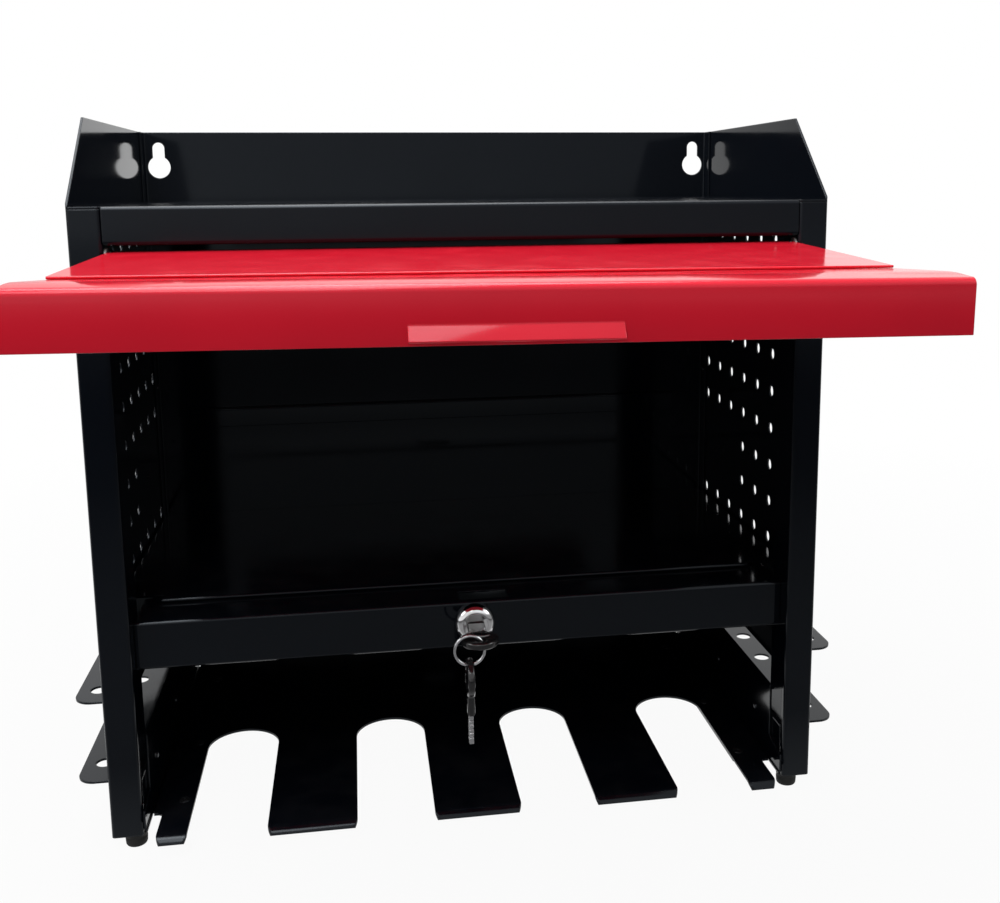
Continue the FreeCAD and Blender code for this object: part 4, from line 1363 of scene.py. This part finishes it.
@dataclass
class CamLock(Assembly):
    """The cam lock in the rail: bezel, plug, nut, cam and screw, in millimetres."""

    sides: int = 64
    barrel_radius: float = 8.0
    bore_radius: float = 6.05
    plug_radius: float = 6.0
    collar_radius: float = 7.0
    collar_height: float = 0.8
    mouth_play: float = 0.05
    rim: float = 1.6
    dome: Pairs = ((0.985, 0.24), (0.955, 0.22), (0.90, 0.20), (0.82, 0.17), (0.73, 0.12), (0.66, 0.05))
    keyway: Spot = (7.4, 17.9, 2.8)
    screw_bore: tuple[float, float] = (1.6, 3.3)
    nut_chamfer: float = 0.9
    screw_head: tuple[float, float] = (3.4, 1.8)
    screw_rim: float = 0.45
    screw_dome: Pairs = ((0.86, 0.275), (0.60, 0.275))
    screw_shank: float = 1.5
    recess: tuple[float, float] = (4.2, 0.8)

    def bezel(self) -> None:
        """Turn the chromed bezel and its barrel."""
        low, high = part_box("lock_housing")
        radius = (high.x - low.x) / 2.0
        middle = (low + high) / 2.0
        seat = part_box("lock_rail")[0].y - 0.1 * MM
        height = seat - low.y
        start = Vector((middle.x, seat, middle.z))
        bezel = Workpiece.round_bar("lock_bezel", radius, self.rim * MM, start, Axis.FRONT, self.sides)
        rise = height - self.rim * MM
        bezel.pick_end(Axis.FRONT)
        bezel.draw_out(Axis.FRONT, [(share, rise * part) for share, part in self.dome], start)
        bezel.weld(Workpiece.round_bar("lock_barrel", self.barrel_radius * MM, high.y - seat, start,
                                       Axis.BACK, self.sides))
        before = Vector((middle.x, low.y - MM, middle.z))
        holes = (("bore", self.bore_radius, 40.0),
                 ("mouth", self.collar_radius + self.mouth_play, self.collar_height + 1.1))
        for name, across, length in holes:
            bezel.cut(Workpiece.round_bar(name, across * MM, length * MM, before, Axis.BACK, self.sides))
        bezel.round_off(0.18 * MM, 2, 30.0)
        bezel.hand_over("cabinet", self.finishes, Slot.CHROME, "lock_housing")

    def plug(self) -> None:
        """Turn the plug with its collar, and cut its keyway and the bore for its screw."""
        low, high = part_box("lock_plug")
        middle = (low + high) / 2.0
        front = Vector((middle.x, low.y, middle.z))
        plug, collar = (Workpiece.round_bar(name, radius * MM, length, front, Axis.BACK, self.sides)
                        for name, radius, length in (("lock_plug_turned", self.plug_radius, high.y - low.y),
                                                     ("collar", self.collar_radius, self.collar_height * MM)))
        plug.weld(collar)
        wide, deep, tall = self.keyway
        plug.cut(Workpiece.block("keyway", front + mm(-wide / 2.0, -1.0, -tall / 2.0),
                                 front + mm(wide / 2.0, deep - 1.0, tall / 2.0)))
        radius, depth = self.screw_bore
        plug.cut(Workpiece.round_bar("screw_bore", radius * MM, (depth + 0.9) * MM,
                                     Vector((middle.x, high.y - depth * MM, middle.z)), Axis.BACK, 24))
        plug.round_off(0.22 * MM, 2, 40.0)
        plug.hand_over("key_plug", self.finishes, Slot.CHROME, "lock_plug")

    def nut(self) -> None:
        """Make the hexagon nut and break its edges."""
        low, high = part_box("lock_nut")
        middle = (low + high) / 2.0
        across = (high.x - low.x) / 2.0
        start = Vector((middle.x, low.y, middle.z))
        nut = Workpiece.round_bar("lock_nut_turned", across, high.y - low.y, start, Axis.BACK, 6)
        self._stand_on_corner(nut, middle)
        for axis in (Axis.FRONT, Axis.BACK):
            nut.pick_end(axis)
            nut.inset(self.nut_chamfer * MM)
        nut.cut(Workpiece.round_bar("bore", (self.barrel_radius + 0.1) * MM, 10.0 * MM,
                                    Vector((middle.x, low.y - MM, middle.z)), Axis.BACK, self.sides))
        nut.round_off(0.35 * MM, 2, 30.0)
        nut.hand_over("cabinet", self.finishes, Slot.STEEL, "lock_nut")

    @staticmethod
    def _stand_on_corner(nut: Workpiece, middle: Vector) -> None:
        """Turn the nut so that one corner points to the right.

        Args:
            nut: The nut.
            middle: Its middle.
        """
        nut.pick_all()
        mesh = bmesh.from_edit_mesh(nut.thing.data)
        corner = max((vert.co for vert in mesh.verts), key=lambda co: co.x)
        turn = math.atan2(corner.z - middle.z, corner.x - middle.x)
        bpy.ops.transform.rotate(value=-turn, orient_axis="Y", center_override=middle)

    def cam(self) -> None:
        """Round the cranked cam and model the screw that holds it."""
        cam = Workpiece.from_node("lock_cam_pressed", "lock_cam")
        cam.round_off(0.25 * MM, 2, 40.0)
        cam.hand_over("key_plug", self.finishes, Slot.STEEL, "lock_cam")
        low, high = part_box("cam_screw")
        middle = (low + high) / 2.0
        radius, head = (size * MM for size in self.screw_head)
        seat = Vector((middle.x, high.y - head, middle.z))
        screw = Workpiece.round_bar("cam_screw_turned", radius, head * self.screw_rim, seat, Axis.BACK, 40)
        screw.pick_end(Axis.BACK)
        screw.draw_out(Axis.BACK, [(share, head * part) for share, part in self.screw_dome], middle)
        screw.pick_end(Axis.FRONT)
        screw.inset(radius - self.screw_shank * MM)
        screw.extrude(Vector((0.0, low.y - seat.y, 0.0)))
        tip = Vector((middle.x, high.y, middle.z))
        for wide, tall in (self.recess, self.recess[::-1]):
            reach = mm(wide / 2.0, 1.0, tall / 2.0)
            screw.cut(Workpiece.block("recess", tip - reach, tip + reach))
        screw.round_off(0.08 * MM, 1, 40.0)
        screw.hand_over("key_plug", self.finishes, Slot.STEEL, "cam_screw")

    def build(self) -> None:
        """Build the whole lock."""
        self.bezel()
        self.plug()
        self.nut()
        self.cam()


@dataclass
class KeySet(Assembly):
    """Two keys with moulded heads, and the split ring that joins them, in millimetres."""

    head_radius: float = 10.5
    head_length: float = 31.0
    thickness: float = 4.6
    neck_half: float = 5.0
    hole_radius: float = 3.2
    hole_inset: float = 5.0
    fillet: float = 3.0
    crown: Pairs = ((0.10, 0.42), (0.24, 0.42), (0.42, 0.34), (0.70, 0.22), (1.40, 0.16))
    pad: Spot = (5.4, 0.72, 0.25)
    pad_offset: float = 2.5
    blade_length: float = 17.0
    blade_half: float = 3.4
    blade_thickness: float = 2.4
    tang_length: float = 12.0
    tang_half: float = 2.5
    blade_tip: tuple[float, float] = (0.45, 0.8)
    cuts: tuple[float, ...] = (0.9, 0.3, 1.2, 0.6, 1.0)
    cuts_start: float = 2.4
    cuts_share: float = 0.72
    cut_mouth: float = 0.62
    cut_floor: float = 0.45
    groove: Spot = (0.5, 0.6, 0.5)
    wire: float = 0.8
    wire_width: float = 1.7
    wire_turn: float = 352.0

    def _outline(self) -> list[Vector]:
        """Draw the outline of a head: the disc, a fillet on each side and the neck.

        Returns:
            Its points in millimetres, from the foot of the disc round and back.
        """
        disc = Vector((0.0, self.head_radius - self.head_length, 0.0))
        reach = self.head_radius + self.fillet
        start = math.acos((self.neck_half + self.fillet) / reach)
        half = self._arc(disc, self.head_radius, -math.pi / 2.0, start, 40)
        half += self._arc(disc + Vector((math.cos(start), math.sin(start), 0.0)) * reach, self.fillet,
                          math.pi + start, math.pi, 8)[1:]
        half.append(Vector((self.neck_half, 0.0, 0.0)))
        return half + [Vector((-spot.x, spot.y, 0.0)) for spot in reversed(half[1:])]

    @staticmethod
    def _arc(middle: Vector, radius: float, start: float, end: float, steps: int) -> list[Vector]:
        """List the points of an arc from one angle to another."""
        turns = [start + (end - start) * step / steps for step in range(steps + 1)]
        return [middle + Vector((math.cos(turn), math.sin(turn), 0.0)) * radius for turn in turns]

    def head(self) -> Workpiece:
        """Mould a key head, flat, its shoulder at the origin and its blade side towards the back.

        Returns:
            The head.
        """
        web = self.thickness / 2.0 - sum(depth for _, depth in self.crown)
        corners = [mm(spot.x, spot.y, -web) for spot in self._outline()]
        head = Workpiece.plate("key_head", corners, Vector((0.0, 0.0, 2.0 * web * MM)))
        for side in SIDES:
            head.pick_faces(lambda spot, normal, s=side: normal.z * s > ALONG)
            for by, depth in self.crown:
                head.inset(by * MM, depth * MM)
        hole = mm(0.0, self.hole_inset - self.head_length, -5.0)
        head.cut(Workpiece.round_bar("hole", self.hole_radius * MM, 10.0 * MM, hole, Axis.UP, 40))
        radius, squash, depth = self.pad
        for side, axis in zip(SIDES, (Axis.UP, Axis.DOWN)):
            spot = mm(0.0, self.head_radius - self.head_length + self.pad_offset, side * self.thickness / 2.0)
            pad = Workpiece.round_bar("thumb_pad", radius * MM, 2.0 * depth * MM,
                                      spot - Vector((0.0, 0.0, side * depth * MM)), axis, 48)
            pad.pick_all()
            pad.scale((1.0, squash, 1.0), spot)
            head.cut(pad)
        head.round_off(0.22 * MM, 2, 50.0)
        return head

    def blade(self) -> Workpiece:
        """Mill a key blade that runs back from the origin, with bittings and a groove on each side.

        Returns:
            The blade.
        """
        top = self.blade_thickness / 2.0
        blade = Workpiece.block("key_blade", mm(-self.blade_half, 0.0, -top),
                                mm(self.blade_half, self.blade_length, top))
        blade.pick_end(Axis.BACK)
        blade.extrude(Vector())
        narrow, thin = self.blade_tip
        blade.scale((narrow, 1.0, thin), mm(0.0, self.blade_length, 0.0))
        step = self.blade_length * self.cuts_share / len(self.cuts)
        mouth = step * self.cut_mouth
        for index, cut in enumerate(self.cuts):
            start = self.cuts_start + index * step
            for side, depth in zip(SIDES, (cut, self.cuts[-1 - index])):
                inner = side * (self.blade_half - depth)
                tool = Workpiece.block("bitting", mm(inner, start, -2.0),
                                       mm(side * (self.blade_half + 1.0), start + mouth, 2.0))
                tool.pick_faces(lambda spot, normal, i=inner: abs(spot.x - i * MM) < TINY)
                tool.scale((1.0, self.cut_floor, 1.0), mm(inner, start + mouth / 2.0, 0.0))
                blade.cut(tool)
        aside, half, deep = self.groove
        for side in SIDES:
            blade.cut(Workpiece.block("groove", mm(side * aside - half, 1.0, side * top - deep),
                                      mm(side * aside + half, self.blade_length + 1.0, side * top + deep)))
        blade.weld(Workpiece.block("tang", mm(-self.tang_half, -self.tang_length, -top),
                                   mm(self.tang_half, 0.4, top - 0.02)))
        blade.round_off(0.12 * MM, 1, 40.0)
        return blade

    def ring(self) -> None:
        """Wind the split ring: two turns of flat wire that lie side by side."""
        low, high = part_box("key_ring")
        middle = (low + high) / 2.0
        radius = (high.x - low.x) / 2.0 - self.wire * MM
        centre = Vector((radius, 0.0, 0.0))
        Workpiece.clear()
        bpy.ops.mesh.primitive_circle_add(vertices=14, radius=self.wire * MM * 0.5, fill_type="NGON",
                                          location=centre)
        wire = Workpiece.taken("split_ring")
        wire.pick_all()
        bpy.ops.transform.rotate(value=math.radians(90.0), orient_axis="X", center_override=centre)
        wire.scale((self.wire_width, 1.0, 1.0), centre)
        wire.modify("SCREW", axis="Z", angle=math.radians(self.wire_turn), screw_offset=self.wire * MM * 0.98,
                    iterations=2, steps=64, render_steps=64, use_merge_vertices=True)
        upright = Matrix.Rotation(math.radians(-90.0), 4, "X")
        placed = wire.copy("split_ring_hung", Matrix.Translation(middle) @ upright
                           @ Matrix.Translation((0.0, 0.0, -self.wire * MM)))
        wire.scrap()
        placed.hand_over("ring", self.finishes, Slot.STEEL, "key_ring")

    def build(self) -> None:
        """Place a key in the lock and one on the ring."""
        head = self.head()
        blade = self.blade()
        low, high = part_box("door_key_head")
        in_lock = Matrix.Translation(Vector(((low.x + high.x) / 2.0, high.y, (low.z + high.z) / 2.0)))
        low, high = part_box("spare_key_head")
        hung = (Matrix.Translation(Vector(((low.x + high.x) / 2.0, (low.y + high.y) / 2.0, low.z)))
                @ Matrix.Rotation(math.radians(90.0), 4, "Z") @ Matrix.Rotation(math.radians(-90.0), 4, "X"))
        for name, body, move in (("door_key", "key_plug", in_lock), ("spare_key", "spare_key", hung)):
            placed = head.copy(name + "_moulded_head", move)
            placed.hand_over(body, self.finishes, Slot.KEY_PLASTIC, name + "_head")
            placed = blade.copy(name + "_milled_blade", move)
            placed.hand_over(body, self.finishes, Slot.STEEL, name + "_blade")
        head.scrap()
        blade.scrap()
        self.ring()


@dataclass
class Feet(Assembly):
    """Rubber feet and the screws in them, in millimetres."""

    radius: float = 6.0
    height: float = 7.0
    top: float = 1.2
    steps: Pairs = ((0.95, 0.5), (0.95, 0.9), (1.0, 0.5), (0.97, 3.0), (0.90, 0.9))
    recess_radius: float = 3.4
    recess_depth: float = 3.0
    bore_radius: float = 1.6
    screw_head_radius: float = 3.0
    screw_head_height: float = 1.8
    shank_radius: float = 1.5
    dome: Pairs = ((0.88, 0.25), (0.62, 0.25))
    cross: tuple[float, float] = (3.4, 0.7)

    def foot(self) -> Workpiece:
        """Mould one foot, its top face at the origin and its tread downward.

        Returns:
            The foot.
        """
        foot = Workpiece.round_bar("rubber_foot", self.radius * MM, self.top * MM, Vector(), Axis.DOWN, 48)
        foot.pick_end(Axis.DOWN)
        foot.draw_out(Axis.DOWN, [(share, down * MM) for share, down in self.steps], Vector())
        for part in (0.55, 0.45):
            foot.inset((self.steps[-1][0] * self.radius - self.recess_radius) * MM * part)
        foot.extrude(mm(0.0, 0.0, self.recess_depth))
        foot.inset(0.4 * MM)
        foot.cut(Workpiece.round_bar("bore", self.bore_radius * MM, self.height * 2.0 * MM,
                                     mm(0.0, 0.0, -2.0 * self.height), Axis.UP, 24))
        foot.round_off(0.22 * MM, 2, 40.0)
        return foot

    def screw(self, length: float) -> Workpiece:
        """Model one pan-head screw, its head's seat at the origin and its shank upward.

        Args:
            length: Length of the shank in metres.

        Returns:
            The screw.
        """
        height = self.screw_head_height * MM
        screw = Workpiece.round_bar("foot_screw", self.screw_head_radius * MM, height / 2.0, Vector(),
                                    Axis.DOWN, 40)
        screw.pick_end(Axis.DOWN)
        screw.draw_out(Axis.DOWN, [(share, height * part) for share, part in self.dome], Vector())
        screw.pick_end(Axis.UP)
        screw.inset((self.screw_head_radius - self.shank_radius) * MM)
        screw.extrude(Vector((0.0, 0.0, length)))
        for wide, deep in (self.cross, self.cross[::-1]):
            screw.cut(Workpiece.block("recess", mm(-wide / 2.0, -deep / 2.0, -self.screw_head_height - 1.0),
                                      mm(wide / 2.0, deep / 2.0, 1.0 - self.screw_head_height)))
        screw.round_off(0.08 * MM, 1, 40.0)
        return screw

    def build(self) -> None:
        """Set the four feet and their screws."""
        foot = self.foot()
        for side in ("left", "right"):
            for end in ("front", "rear"):
                node = side + "_" + end + "_foot"
                low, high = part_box(node)
                spot = Vector(((low.x + high.x) / 2.0, (low.y + high.y) / 2.0, high.z))
                placed = foot.copy("rubber_" + node, Matrix.Translation(spot))
                placed.hand_over("cabinet", self.finishes, Slot.RUBBER, node)
        foot.scrap()
        seats = []
        for points in Rivets.islands("foot_screws"):
            low, high = extent(points)
            seats.append(Vector(((low.x + high.x) / 2.0, (low.y + high.y) / 2.0,
                                 low.z + self.screw_head_height * MM)))
        model = self.screw(high.z - seats[-1].z)
        screws = [model.copy("foot_screw", Matrix.Translation(seat)) for seat in seats]
        screws[0].gather(screws[1:])
        screws[0].thing.name = "foot_screws_driven"
        screws[0].hand_over("cabinet", self.finishes, Slot.STEEL, "foot_screws")
        model.scrap()


@dataclass
class HingePins(Assembly):
    """The pins that carry the door, and the nylon washers on them, in millimetres."""

    head_radius: float = 4.2
    head_height: float = 1.5
    head_crown: tuple[float, float] = (0.82, 0.4)
    dimple: tuple[float, float] = (1.4, 0.25)
    pin_radius: float = 2.5
    tail_spread: float = 1.2
    tail: Pairs = ((1.104, 0.8), (0.6624, 0.6))
    washer_edge: float = 0.3

    def pin(self, side: str) -> None:
        """Turn one pin with a crowned head and a peened end.

        Args:
            side: The side that it is on.
        """
        inward, outward = (Axis.LEFT, Axis.RIGHT) if side == "right" else (Axis.RIGHT, Axis.LEFT)
        low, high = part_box(side + "_hinge_pin")
        middle = (low + high) / 2.0
        inner, outer = (low.x, high.x) if side == "right" else (high.x, low.x)
        seat = Vector((inner, middle.y, middle.z)) - inward.vector * self.head_height * MM
        rim = self.head_height * (1.0 - self.head_crown[1]) * MM
        pin = Workpiece.round_bar(side + "_pin_turned", self.head_radius * MM, rim, seat, inward, 48)
        pin.pick_end(inward)
        share, part = self.head_crown
        pin.draw_out(inward, [(share, self.head_height * part * MM)], middle)
        wide, deep = self.dimple
        pin.inset(wide * MM, -deep * MM)
        pin.pick_end(outward)
        pin.inset((self.head_radius - self.pin_radius) * MM)
        steps = [(share, length * MM) for share, length in self.tail]
        reach = abs(outer - seat.x) - sum(length for _, length in steps)
        pin.draw_out(outward, [(self.tail_spread, reach)] + steps, middle)
        pin.round_off(0.12 * MM, 2, 40.0)
        pin.hand_over("cabinet", self.finishes, Slot.STEEL, side + "_hinge_pin")

    def washer(self, side: str) -> None:
        """Turn one nylon washer with broken edges.

        Args:
            side: The side that it is on.
        """
        low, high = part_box(side + "_hinge_washer")
        middle = (low + high) / 2.0
        start = Vector((low.x, middle.y, middle.z))
        washer = Workpiece.round_bar(side + "_nylon_washer", (high.z - low.z) / 2.0, high.x - low.x, start,
                                     Axis.RIGHT, 48)
        washer.cut(Workpiece.round_bar("bore", (self.pin_radius + 0.1) * MM, 10.0 * MM,
                                       start - mm(3.0, 0.0, 0.0), Axis.RIGHT, 48))
        washer.round_off(self.washer_edge * MM, 2, 40.0)
        washer.hand_over("cabinet", self.finishes, Slot.WASHER, side + "_hinge_washer")

    def build(self) -> None:
        """Build both sides."""
        for side in ("left", "right"):
            self.pin(side)
            self.washer(side)


def main() -> None:
    """Build the scene piece by piece."""
    logging.basicConfig(level=logging.INFO, format="%(message)s")
    Studio().build()
    finishes = Finishes()
    finishes.dress_frame()
    for assembly in (Stiffener, Door, CamLock, KeySet, HingePins, Feet, Rivets):
        assembly(finishes).build()


if __name__ == "__main__":
    main()
